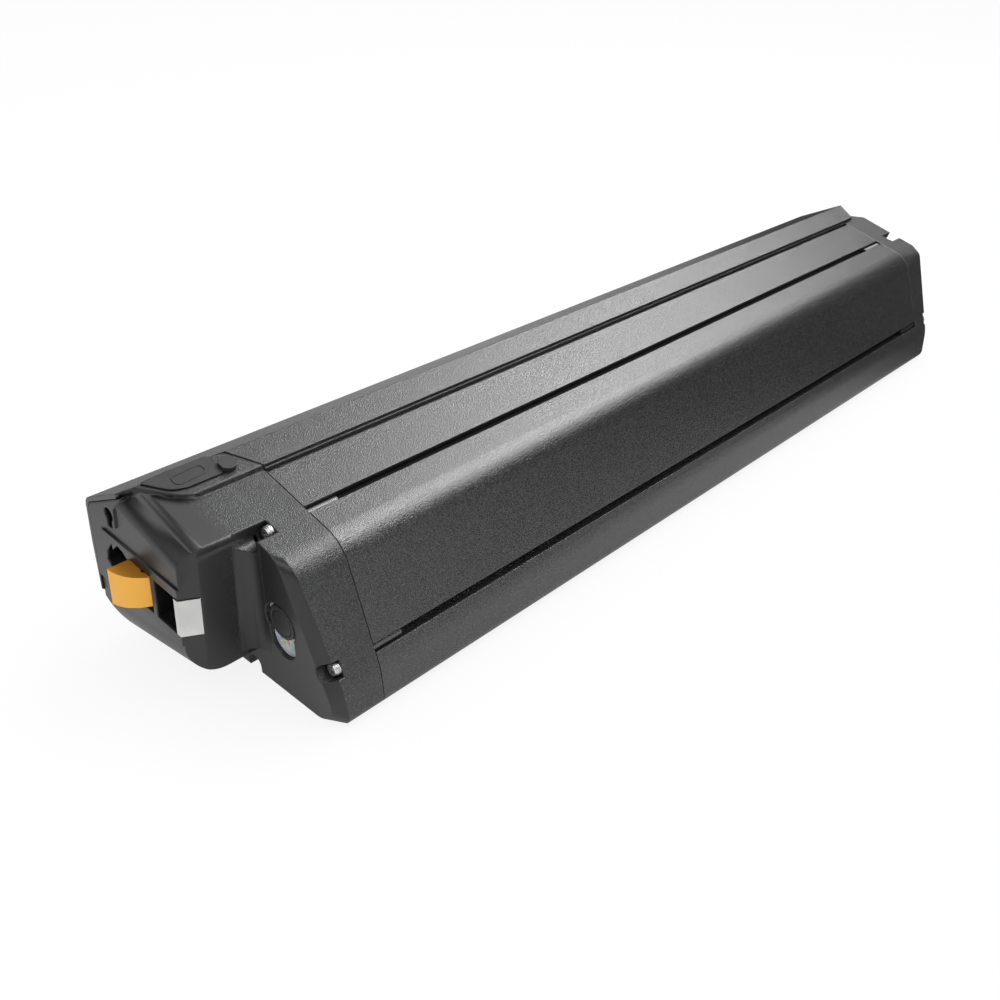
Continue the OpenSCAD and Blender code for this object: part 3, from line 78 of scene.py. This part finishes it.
# From and to where the painted shade of a groove fades in: the channel's radius, and the hook's groove from its top,
# down to its floor, from its front and to its back
CHANNEL_EDGE = (0.0021, 0.0025)
HOOK_TOP = (0.0, 0.0002)
HOOK_FLOOR = (0.0018, 0.0024)
HOOK_FRONT = (0.0052, 0.0055)
HOOK_BACK = (0.0128, 0.0132)
UPPER_FACE_RISE = 0.261
UPPER_FACE_HEIGHT = 0.0616
BUTTON_CENTRE = (-0.029, 0.031)
BUTTON_RING_RADIUS = 0.0046
WINDOW_LAMPS_HEIGHT = 0.0225
THREAD_PITCH = 0.0007
THREAD_SEEN_FROM = 0.1965
RELIEF_SIZE = (0.0118, 0.0046)
RELIEF_CORNER = 0.0018
RELIEF_RIM = 0.00045
RELIEF_HEIGHT = 0.00032
RELIEF_SINK = 0.0001
RELIEF_PLACE = (-0.0232, 0.0098)
RELIEF_TURN = math.radians(4)
RELIEF_SOFTENING = 0.00008
# Facets closer than these count as one
MERGE_DISTANCE = 0.000002
FLAT_ANGLE = math.radians(0.4)
# Grain of the coats, in cells a metre, and how far it stands up
FINE_GRAIN = 3300
COARSE_GRAIN = 1500
GRAIN_HEIGHT = 0.00026
TUBE_MIDDLE = SHIFT.x + TUBE_LENGTH / 2


def frame_at(place, turn):
    """Matrix of one of the battery's leaning faces."""
    return Matrix.Translation(SHIFT + Vector(place)) @ turn


on_top = frame_at((0, 0, GROOVE_HEIGHT), Matrix.Rotation(TOP_SLOPE, 4, "X"))
on_nose = frame_at((0, 0, GROOVE_HEIGHT), Matrix.Rotation(NOSE_LEAN, 4, "X"))
on_head_face = frame_at((-HEAD_DEPTH, 0, 0), Matrix.Rotation(-HEAD_LEAN, 4, "Y"))


# Camera
def add_camera():
    """The photograph's view, from above the latch end."""
    place = Vector((-0.3512134, -0.248001, 0.24354))
    right = Vector((0.68371, -0.72901, 0.03296))
    down = Vector((-0.36701, -0.38254, -0.84792))
    ahead = Vector((0.63075, 0.56763, -0.52910))
    data = bpy.data.cameras.new("photo_view")
    data.sensor_width = 36
    data.lens = 38.36
    data.clip_start = 0.01
    camera = bpy.data.objects.new("photo_view", data)
    bpy.context.scene.collection.objects.link(camera)
    turn = Matrix((right, -down, -ahead)).transposed().to_4x4()
    camera.matrix_world = Matrix.Translation(place) @ turn
    bpy.context.scene.camera = camera


add_camera()


# Shader maths: a socket with operators, and one method for any other node
class Socket:
    """A value in a material's node tree."""

    def __init__(self, paint, link):
        self.paint = paint
        self.link = link

    def maths(self, operation, other=0.0, third=0.0):
        return self.paint.node("ShaderNodeMath", {"operation": operation}, {0: self, 1: other, 2: third})

    def __add__(self, other):
        return self.maths("ADD", other)

    def __sub__(self, other):
        return self.maths("SUBTRACT", other)

    def __mul__(self, other):
        return self.maths("MULTIPLY", other)

    def __rsub__(self, other):
        return self.maths("MULTIPLY_ADD", -1.0, other)

    __radd__ = __add__
    __rmul__ = __mul__

    def over(self, low, high):
        """0 at low, 1 at high, smooth between them."""
        return self.paint.node("ShaderNodeMapRange", {"interpolation_type": "SMOOTHSTEP", "clamp": True},
                               {"Value": self, "From Min": low, "From Max": high})

    def max(self, other):
        return self.maths("MAXIMUM", other)

    def abs(self):
        return self.maths("ABSOLUTE")


class Paint:
    """One procedural material."""

    def __init__(self, name):
        self.material = bpy.data.materials.new(name)
        self.material.use_nodes = True
        self.tree = self.material.node_tree
        self.shader = self.tree.nodes["Principled BSDF"]
        self.place = self.node("ShaderNodeTexCoord", {}, {}, "Object")

    def node(self, kind, settings, inputs, output=0):
        made = self.tree.nodes.new(kind)
        for key, value in settings.items():
            setattr(made, key, value)
        for key, value in inputs.items():
            self.feed(made.inputs[key], value)
        return Socket(self, made.outputs[output])

    def feed(self, socket, value):
        if isinstance(value, Socket):
            self.tree.links.new(value.link, socket)
        elif value is not None:
            socket.default_value = value

    def axis(self, vector, name):
        return self.node("ShaderNodeSeparateXYZ", {}, {0: vector}, "XYZ".index(name))

    def moved(self, matrix):
        """Object coordinates seen from a leaning face."""
        back = matrix.inverted()
        return self.node("ShaderNodeMapping", {"vector_type": "POINT"},
                         {"Vector": self.place, "Location": back.to_translation(),
                          "Rotation": back.to_euler("XYZ")})

    def stretched(self, scale):
        return self.node("ShaderNodeVectorMath", {"operation": "MULTIPLY"}, {0: self.place, 1: scale})

    def noise(self, scale, detail=2.0, roughness=0.5, vector=None):
        return self.node("ShaderNodeTexNoise", {}, {"Vector": vector or self.place, "Scale": scale,
                                                    "Detail": detail, "Roughness": roughness})

    def mix(self, factor, first, second):
        made = self.tree.nodes.new("ShaderNodeMix")
        made.data_type = "RGBA"
        self.feed(made.inputs["Factor"], factor)
        colours = [s for s in made.inputs if s.type == "RGBA"]
        for socket, colour in zip(colours, (first, second)):
            self.feed(socket, colour if isinstance(colour, Socket) else (*colour, 1))
        return Socket(self, [s for s in made.outputs if s.type == "RGBA"][0])

    def soft_edges(self, radius):
        return self.node("ShaderNodeBevel", {"samples": 6}, {"Radius": radius})

    def bump(self, height, strength, distance, normal=None):
        return self.node("ShaderNodeBump", {}, {"Height": height, "Strength": strength, "Distance": distance,
                                                "Normal": normal})

    def distance(self, first, second):
        """How far a point lies from the middle, from its two coordinates."""
        return (first.maths("POWER", 2.0) + second.maths("POWER", 2.0)).maths("SQRT")

    def grain(self):
        """Fine and coarse grain of a coat."""
        return self.noise(FINE_GRAIN, 0.0), self.noise(COARSE_GRAIN, 1.0)

    def finish(self, **values):
        for name, value in values.items():
            socket = self.shader.inputs[name.replace("_", " ")]
            if isinstance(value, tuple) and len(value) == 3:
                value = (*value, 1)
            self.feed(socket, value)
        return self.material


# Finishes
def groove_shade_mask(paint):
    """Mask for painted shade: 1 in the tube's upper screw channel and in the groove for the cover's hook, 0 on the
    outside.
    """
    y, z = paint.axis(paint.place, "Y"), paint.axis(paint.place, "Z")
    away = paint.distance(y - CHANNEL_CENTRE[0], z - CHANNEL_CENTRE[1])
    channel = 1.0 - away.over(*CHANNEL_EDGE)
    below = y * UPPER_FACE_RISE + UPPER_FACE_HEIGHT - z
    hook = below.over(*HOOK_TOP) * (1.0 - below.over(*HOOK_FLOOR))
    hook = hook * y.over(*HOOK_FRONT) * (1.0 - y.over(*HOOK_BACK))
    return channel.max(hook)


def coated_black(name):
    """Satin black coat with a fine sandy grain, dull down in the grooves, where painted shade makes it nearly black.
    """
    paint = Paint(name)
    fine, coarse = paint.grain()
    cloud = paint.noise(14, 3.0)
    normal = paint.bump(fine * 0.75 + coarse * 0.25, 0.6, GRAIN_HEIGHT, paint.soft_edges(0.00035))
    tone = paint.mix(fine.over(0.45, 0.72), (0.0066, 0.00671, 0.00682), (0.044, 0.04455, 0.044))
    groove_shade_and_dullness = groove_shade_mask(paint)
    # Painted shade: the coat's colour goes nearly black in the grooves
    tone = paint.mix(groove_shade_and_dullness, tone, (0.002, 0.002, 0.002))
    rough = (0.24 + cloud * 0.05 + fine * 0.08).max(groove_shade_and_dullness * 0.9)
    return paint.finish(Base_Color=tone, Roughness=rough, Normal=normal, Specular_IOR_Level=0.75)


def cap_black(name):
    """Cap moulding: grained outside, smooth on the nose, the chamfers and the end faces."""
    paint = Paint(name)
    fine, coarse = paint.grain()
    cloud = paint.noise(20, 3.0)
    facing = paint.node("ShaderNodeNewGeometry", {}, {}, "True Normal")
    endward = paint.axis(facing, "X").abs()
    nose = 1.0 - paint.axis(paint.moved(on_nose), "X").over(-0.034, -0.022)
    smooth = endward.over(0.12, 0.3).max(nose)
    relief = (fine * 0.75 + coarse * 0.25) * (1.0 - smooth * 0.9)
    normal = paint.bump(relief, 0.6, GRAIN_HEIGHT, paint.soft_edges(0.0011))
    speck = paint.mix(fine.over(0.45, 0.72), (0.007, 0.0072, 0.0073), (0.05, 0.051, 0.0505))
    tone = paint.mix(smooth, speck, (0.009, 0.0092, 0.0092))
    return paint.finish(Base_Color=tone, Roughness=0.31 + cloud * 0.06 + smooth * 0.04, Normal=normal,
                        Specular_IOR_Level=0.55)


def soft_rubber(name, base):
    """Smooth rubber with a faint bloom."""
    paint = Paint(name)
    bloom = paint.noise(220, 3.0)
    fine = paint.noise(3000, 1.0)
    tone = paint.mix(bloom.over(0.35, 0.7), (base, base, base * 1.02), (base * 1.5, base * 1.5, base * 1.5))
    return paint.finish(Base_Color=tone, Roughness=0.42 + bloom * 0.12,
                        Normal=paint.bump(fine, 0.2, 0.0001, paint.soft_edges(0.0003)), Specular_IOR_Level=0.45)


def metal(name, colour, roughness, stretch=(300, 3000, 3000), depth=0.2, dark=0.75):
    """Bare or plated metal with fine drawn lines."""
    paint = Paint(name)
    lines = paint.noise(1.0, 3.0, 0.6, paint.stretched(stretch))
    stain = paint.noise(120, 3.0)
    shade = tuple(c * dark for c in colour)
    tone = paint.mix(stain.over(0.3, 0.7), shade, colour)
    return paint.finish(Base_Color=tone, Metallic=1.0, Roughness=roughness + lines * 0.12,
                        Normal=paint.bump(lines, depth, 0.00005, paint.soft_edges(0.00015)))


def gold_coat(name):
    """Yellow gold coat on the latch, with painted shade making it a little darker on the upper side."""
    paint = Paint(name)
    facing = paint.node("ShaderNodeNewGeometry", {}, {}, "True Normal")
    top_shade = paint.axis(facing, "Z").over(0.3, 0.8)
    lines = paint.noise(1.0, 2.0, 0.6, paint.stretched((400, 400, 3500)))
    # Painted shade: faces that point up take the darker gold
    tone = paint.mix(top_shade, (0.86, 0.43, 0.055), (0.72, 0.3, 0.03))
    return paint.finish(Base_Color=tone, Metallic=0.35, Roughness=0.36 + lines * 0.1,
                        Normal=paint.bump(lines, 0.12, 0.00005, paint.soft_edges(0.0002)))


def threaded_steel(name):
    """Plated screws: turned thread on the shanks, with painted shade making them dark where they lie inside the
    tube.
    """
    paint = Paint(name)
    x = paint.axis(paint.place, "X")
    thread = (x * (2 * math.pi / THREAD_PITCH)).maths("SINE")
    stain = paint.noise(400, 2.0)
    tone = paint.mix(stain.over(0.3, 0.7), (0.42, 0.42, 0.43), (0.66, 0.66, 0.67))
    # Painted shade on the part of the shanks that lies inside the tube
    inside = 1.0 - (x - TUBE_MIDDLE).abs().over(THREAD_SEEN_FROM, THREAD_SEEN_FROM + 0.001)
    tone = paint.mix(inside, tone, (0.13, 0.13, 0.13))
    return paint.finish(Base_Color=tone, Metallic=1.0, Roughness=0.34 + stain * 0.14,
                        Normal=paint.bump(thread, 0.35, 0.00012, paint.soft_edges(0.00015)))


def pale_window(name):
    """Frosted window with soft coloured lamps behind its lower half."""
    paint = Paint(name)
    seen = paint.moved(on_head_face)
    y = paint.axis(seen, "Y")
    z = paint.axis(seen, "Z")
    haze = paint.noise(500, 3.0)
    tone = paint.mix(haze.over(0.3, 0.7), (0.34, 0.36, 0.38), (0.6, 0.62, 0.64))
    lamps = [(-0.0262, (0.1, 0.16, 0.55)), (-0.0281, (0.6, 0.52, 0.08)), (-0.03, (0.55, 0.08, 0.06)),
             (-0.0319, (0.12, 0.4, 0.14))]
    for at, colour in lamps:
        away = paint.distance(y - at, z - WINDOW_LAMPS_HEIGHT)
        tone = paint.mix((1.0 - away.over(0.0004, 0.0013)) * 0.7, tone, colour)
    return paint.finish(Base_Color=tone, Roughness=0.3 + haze * 0.1, Normal=paint.soft_edges(0.0002))


def button_rubber(name):
    """Press button with a shallow ring round its middle."""
    paint = Paint(name)
    seen = paint.moved(on_head_face)
    away = paint.distance(paint.axis(seen, "Y") - BUTTON_CENTRE[0], paint.axis(seen, "Z") - BUTTON_CENTRE[1])
    ring = 1.0 - (away - BUTTON_RING_RADIUS).abs().over(0.0002, 0.0006)
    fine = paint.noise(3000, 1.0)
    return paint.finish(Base_Color=paint.mix(fine, (0.012, 0.012, 0.013), (0.02, 0.02, 0.021)),
                        Roughness=0.42 + fine * 0.08,
                        Normal=paint.bump(0.0 - ring, 0.8, 0.0003, paint.soft_edges(0.0003)))


def plain_moulding(name, colour, roughness=0.45, coat=0.0):
    """Inner mouldings, boards and leads."""
    paint = Paint(name)
    cloud = paint.noise(160, 3.0)
    fine = paint.noise(1800, 2.0)
    tone = paint.mix(cloud.over(0.3, 0.7), tuple(c * 0.85 for c in colour), tuple(min(c * 1.1, 1) for c in colour))
    return paint.finish(Base_Color=tone, Roughness=roughness + fine * 0.1,
                        Normal=paint.bump(fine, 0.15, 0.0001), Coat_Weight=coat)


tube_coat = coated_black("tube_satin_coat")
cover_coat = coated_black("cover_satin_coat")
cap_finish = cap_black("cap_moulding")
finishes = {
    "battery_tube": tube_coat,
    "outer_cover": cover_coat,
    "head_cap": cap_finish,
    "tail_cap": cap_finish,
    "charge_flap": soft_rubber("flap_rubber", 0.014),
    "latch": gold_coat("latch_gold_coat"),
    "strike_plate": metal("strike_plate_steel", (0.66, 0.66, 0.65), 0.3, (400, 400, 4000), 0.25, 0.85),
    "power_button": button_rubber("button_rubber"),
    "light_window": pale_window("window_frosted"),
}
screw_finish = threaded_steel("screw_plated_steel")
bright_steel = metal("small_parts_steel", (0.6, 0.6, 0.61), 0.25)
contact_metal = metal("contact_plating", (0.8, 0.6, 0.28), 0.25)
gasket_finish = soft_rubber("gasket_rubber", 0.02)
socket_finish = plain_moulding("socket_moulding", (0.03, 0.03, 0.032))
bracket_finish = plain_moulding("bracket_moulding", (0.75, 0.75, 0.71))
board_finish = plain_moulding("board_lacquer", (0.02, 0.16, 0.07), 0.3, 0.3)
for node, finish in {
    "head_screws": screw_finish, "tail_screws": screw_finish, "socket_screws": bright_steel,
    "strike_screw": bright_steel, "socket_nut": bright_steel, "button_switch": bright_steel,
    "latch_pin": bright_steel, "latch_spring": bright_steel, "charge_pin": contact_metal,
    "discharge_blades": contact_metal, "signal_pins": contact_metal, "head_gasket": gasket_finish,
    "tail_gasket": gasket_finish, "charge_socket": socket_finish, "discharge_socket": socket_finish,
    "cell_bracket_inner": bracket_finish, "cell_bracket_outer": bracket_finish, "balance_plug": bracket_finish,
    "button_board": board_finish, "control_board": board_finish,
    "cells": plain_moulding("cell_sleeve", (0.05, 0.2, 0.17), 0.25),
    "nickel_strips_inner": metal("nickel_strip", (0.66, 0.64, 0.58), 0.3),
    "nickel_strips_outer": metal("nickel_strip_outer", (0.66, 0.64, 0.58), 0.3),
    "insulation_inner": plain_moulding("insulating_sheet", (0.16, 0.22, 0.3), 0.35),
    "insulation_outer": plain_moulding("insulating_sheet_outer", (0.16, 0.22, 0.3), 0.35),
    "base_pad": plain_moulding("pad_foam", (0.03, 0.03, 0.03), 0.8),
    "control_transistors": plain_moulding("chip_moulding", (0.02, 0.02, 0.02), 0.4),
    "heat_plate": metal("heat_plate_metal", (0.7, 0.71, 0.73), 0.35),
    "fuse": plain_moulding("fuse_ceramic", (0.6, 0.5, 0.3), 0.3),
    "indicator_lamps": plain_moulding("lamp_bodies", (0.8, 0.78, 0.5), 0.2),
    "positive_lead": plain_moulding("red_lead", (0.4, 0.02, 0.015), 0.4),
    "negative_lead": plain_moulding("black_lead", (0.02, 0.02, 0.02), 0.4),
    "charge_leads": plain_moulding("red_lead_thin", (0.4, 0.02, 0.015), 0.4),
    "button_lead": plain_moulding("white_lead", (0.7, 0.7, 0.66), 0.4),
    "balance_lead": plain_moulding("balance_lead_white", (0.7, 0.7, 0.66), 0.4),
}.items():
    finishes[node] = finish


def dress(obj, material):
    obj.data.materials.clear()
    obj.data.materials.append(material)


for node, material in finishes.items():
    dress(frame["nodes"][node], material)
missing = sorted(set(frame["nodes"]) - set(finishes))
if missing:
    raise RuntimeError(f"no finish for {missing}")


# Shells with rounded shading: merged copies of the outer solids
def deselect():
    bpy.ops.object.select_all(action="DESELECT")


def activate(obj):
    deselect()
    obj.select_set(True)
    bpy.context.view_layer.objects.active = obj


def smooth_shell(node, name, body, angle=22.0):
    """Copy of a solid with its flat facets merged and smooth shading over its rounds."""
    source = frame["nodes"][node]
    shell = source.copy()
    shell.data = source.data.copy()
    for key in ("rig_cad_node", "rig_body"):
        if key in shell:
            del shell[key]
    shell.name = name
    shell.data.name = name
    shell.parent = None
    bpy.context.scene.collection.objects.link(shell)
    activate(shell)
    bpy.ops.object.mode_set(mode="EDIT")
    bpy.ops.mesh.select_all(action="SELECT")
    bpy.ops.mesh.remove_doubles(threshold=MERGE_DISTANCE)
    bpy.ops.mesh.dissolve_limited(angle_limit=FLAT_ANGLE)
    bpy.ops.object.mode_set(mode="OBJECT")
    bpy.ops.object.shade_smooth_by_angle(angle=math.radians(angle))
    weigh = shell.modifiers.new("flat_faces_first", "WEIGHTED_NORMAL")
    weigh.mode = "FACE_AREA"
    weigh.weight = 80
    weigh.keep_sharp = True
    bpy.ops.object.modifier_apply(modifier="flat_faces_first")
    dress(shell, finishes[node])
    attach(shell, body)
    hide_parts(node)
    return shell


smooth_shell("battery_tube", "tube_shell", "housing")
smooth_shell("outer_cover", "cover_shell", "housing")
smooth_shell("head_cap", "head_cap_shell", "housing", 16.0)
smooth_shell("tail_cap", "tail_cap_shell", "housing", 16.0)
smooth_shell("latch", "latch_shell", "latch_bolt")
smooth_shell("charge_flap", "flap_shell", "flap")
smooth_shell("power_button", "button_shell", "button")
smooth_shell("light_window", "window_shell", "housing")
smooth_shell("strike_plate", "strike_shell", "housing")
smooth_shell("head_screws", "head_screw_set", "housing", 30.0)
smooth_shell("tail_screws", "tail_screw_set", "housing", 30.0)

# The spring would shorten by the latch's travel, towards its seat in the nose; the share is worked out below but not
# applied
spring = smooth_shell("latch_spring", "latch_spring_shell", "housing")
spring_reach = [v.co.x for v in spring.data.vertices]
spring_seat, spring_front = max(spring_reach), min(spring_reach)
1 - LATCH_TRAVEL / (spring_seat - spring_front)
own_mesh(spring)


# Relief on the charge flap: a generic rounded outline
def flap_relief():
    deselect()
    bpy.ops.mesh.primitive_plane_add(size=1.0, location=(0, 0, 0))
    relief = bpy.context.object
    relief.name = relief.data.name = "flap_relief"
    bpy.ops.object.mode_set(mode="EDIT")
    bpy.ops.mesh.select_all(action="SELECT")
    bpy.ops.transform.resize(value=(*RELIEF_SIZE, 1))
    bpy.ops.mesh.bevel(offset=RELIEF_CORNER, segments=6, affect="VERTICES")
    bpy.ops.mesh.select_all(action="SELECT")
    bpy.ops.mesh.inset(thickness=RELIEF_RIM, use_boundary=True)
    bpy.ops.mesh.delete(type="FACE")
    bpy.ops.mesh.select_all(action="SELECT")
    bpy.ops.mesh.extrude_region_move(TRANSFORM_OT_translate={"value": (0, 0, RELIEF_HEIGHT)})
    bpy.ops.mesh.select_all(action="SELECT")
    bpy.ops.mesh.normals_make_consistent(inside=False)
    bpy.ops.object.mode_set(mode="OBJECT")
    lift = STEP_RISE - PLATFORM_DROP + FLAP_THICKNESS - RELIEF_SINK
    place = Matrix.Translation((*RELIEF_PLACE, lift)) @ Matrix.Rotation(RELIEF_TURN, 4, "Z")
    relief.data.transform(on_top @ place)
    activate(relief)
    rim = relief.modifiers.new("rim", "BEVEL")
    rim.width = RELIEF_SOFTENING
    rim.segments = 2
    bpy.ops.object.modifier_apply(modifier="rim")
    bpy.ops.object.shade_smooth_by_angle(angle=math.radians(40))
    dress(relief, finishes["charge_flap"])
    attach(relief, "flap")


flap_relief()


# Studio
FLOOR_SIZE = 6.0
FLOOR_GAP = 0.0004


def add_floor():
    """White floor that keeps a faint shadow, partly real and partly a painted contact shadow, and shows reflections
    painted dark stretches and a painted shadow near the battery.
    """
    deselect()
    bpy.ops.mesh.primitive_plane_add(size=FLOOR_SIZE, location=(0, 0, -FLOOR_GAP))
    floor = bpy.context.object
    floor.name = floor.data.name = "floor"
    paint = Paint("floor_white")
    tree = paint.tree
    path = tree.nodes.new("ShaderNodeLightPath")
    glossy = Socket(paint, path.outputs["Is Glossy Ray"])
    through = Socket(paint, path.outputs["Is Transmission Ray"])
    seen = Socket(paint, path.outputs["Is Camera Ray"]).max(glossy).max(through)
    # Painted dark stretches that only reflections find, beyond the tail on the inner side and behind the head, and
    # painted shadow close to the battery
    x, y = paint.axis(paint.place, "X"), paint.axis(paint.place, "Y")
    beyond = (x * 0.75 - y * 0.66).over(0.11, 0.24).max(x.over(0.3, 0.6))
    behind = y.over(0.06, 0.25) * (1.0 - x.over(-0.1, 0.2)) * 0.6
    near = paint.node("ShaderNodeAmbientOcclusion", {"samples": 8}, {"Distance": 0.05}, 1)
    # Painted shadow beside the battery from ambient occlusion, seen only in reflections
    reflected_painted_shadow = glossy * (1.0 - near.over(0.2, 0.9)) * 0.6
    # Painted contact shadow from ambient occlusion, for every ray including the camera's
    painted_contact_shadow = (1.0 - near) * 0.12
    shade = (glossy * beyond.max(behind)).max(reflected_painted_shadow).max(painted_contact_shadow)
    colour = paint.mix(shade, (1, 1, 1), (0.03, 0.03, 0.03))
    glow = paint.node("ShaderNodeEmission", {}, {"Color": colour, "Strength": 1.0})
    paint.finish(Base_Color=(0.86, 0.86, 0.86), Roughness=0.9)
    lit = Socket(paint, paint.shader.outputs[0])
    both = paint.node("ShaderNodeMixShader", {}, {0: seen * 0.97, 1: lit, 2: glow})
    tree.links.new(both.link, tree.nodes["Material Output"].inputs["Surface"])
    dress(floor, paint.material)


def add_world():
    """White for the camera, a dim even grey for everything else."""
    world = bpy.data.worlds.new("studio")
    bpy.context.scene.world = world
    world.use_nodes = True
    nodes = world.node_tree.nodes
    links = world.node_tree.links
    path = nodes.new("ShaderNodeLightPath")
    soft = nodes["Background"]
    soft.inputs["Color"].default_value = (0.5, 0.5, 0.5, 1)
    soft.inputs["Strength"].default_value = 0.06
    white = nodes.new("ShaderNodeBackground")
    white.inputs["Color"].default_value = (1, 1, 1, 1)
    both = nodes.new("ShaderNodeMixShader")
    links.new(path.outputs["Is Camera Ray"], both.inputs[0])
    links.new(soft.outputs[0], both.inputs[1])
    links.new(white.outputs[0], both.inputs[2])
    links.new(both.outputs[0], nodes["World Output"].inputs["Surface"])


def add_lamp(name, place, target, size, power, long_axis=(0, 1, 0)):
    """Soft box facing its target, its first size along the long axis."""
    data = bpy.data.lights.new(name, "AREA")
    data.shape = "RECTANGLE"
    data.size, data.size_y = size
    data.energy = power
    lamp = bpy.data.objects.new(name, data)
    bpy.context.scene.collection.objects.link(lamp)
    back = (Vector(place) - Vector(target)).normalized()
    side = Vector(long_axis)
    side = (side - back * side.dot(back)).normalized()
    turn = Matrix((side, back.cross(side), back)).transposed().to_4x4()
    lamp.matrix_world = Matrix.Translation(Vector(place)) @ turn


add_floor()
add_world()
middle = (0.0, 0.0, 0.05)
add_lamp("key_softbox", (0.585, -0.295, 1.15), middle, (1.4, 0.38), 27, (-0.49, -0.79, 0.35))
add_lamp("middle_softbox", (0.78, 0.33, 0.84), middle, (0.3, 0.36), 4.2)
add_lamp("top_fill", (0.1, 0.5, 1.2), middle, (1.0, 0.8), 4)
add_lamp("side_fill", (-0.05, -1.4, 0.34), (-0.1, 0.0, 0.03), (0.9, 0.6), 4.5, (0.9, 0.4, 0))
add_lamp("front_fill", (-1.1, -0.2, 0.9), (-0.2, 0.0, 0.03), (0.9, 0.9), 8)
bpy.context.scene.view_settings.view_transform = "Standard"
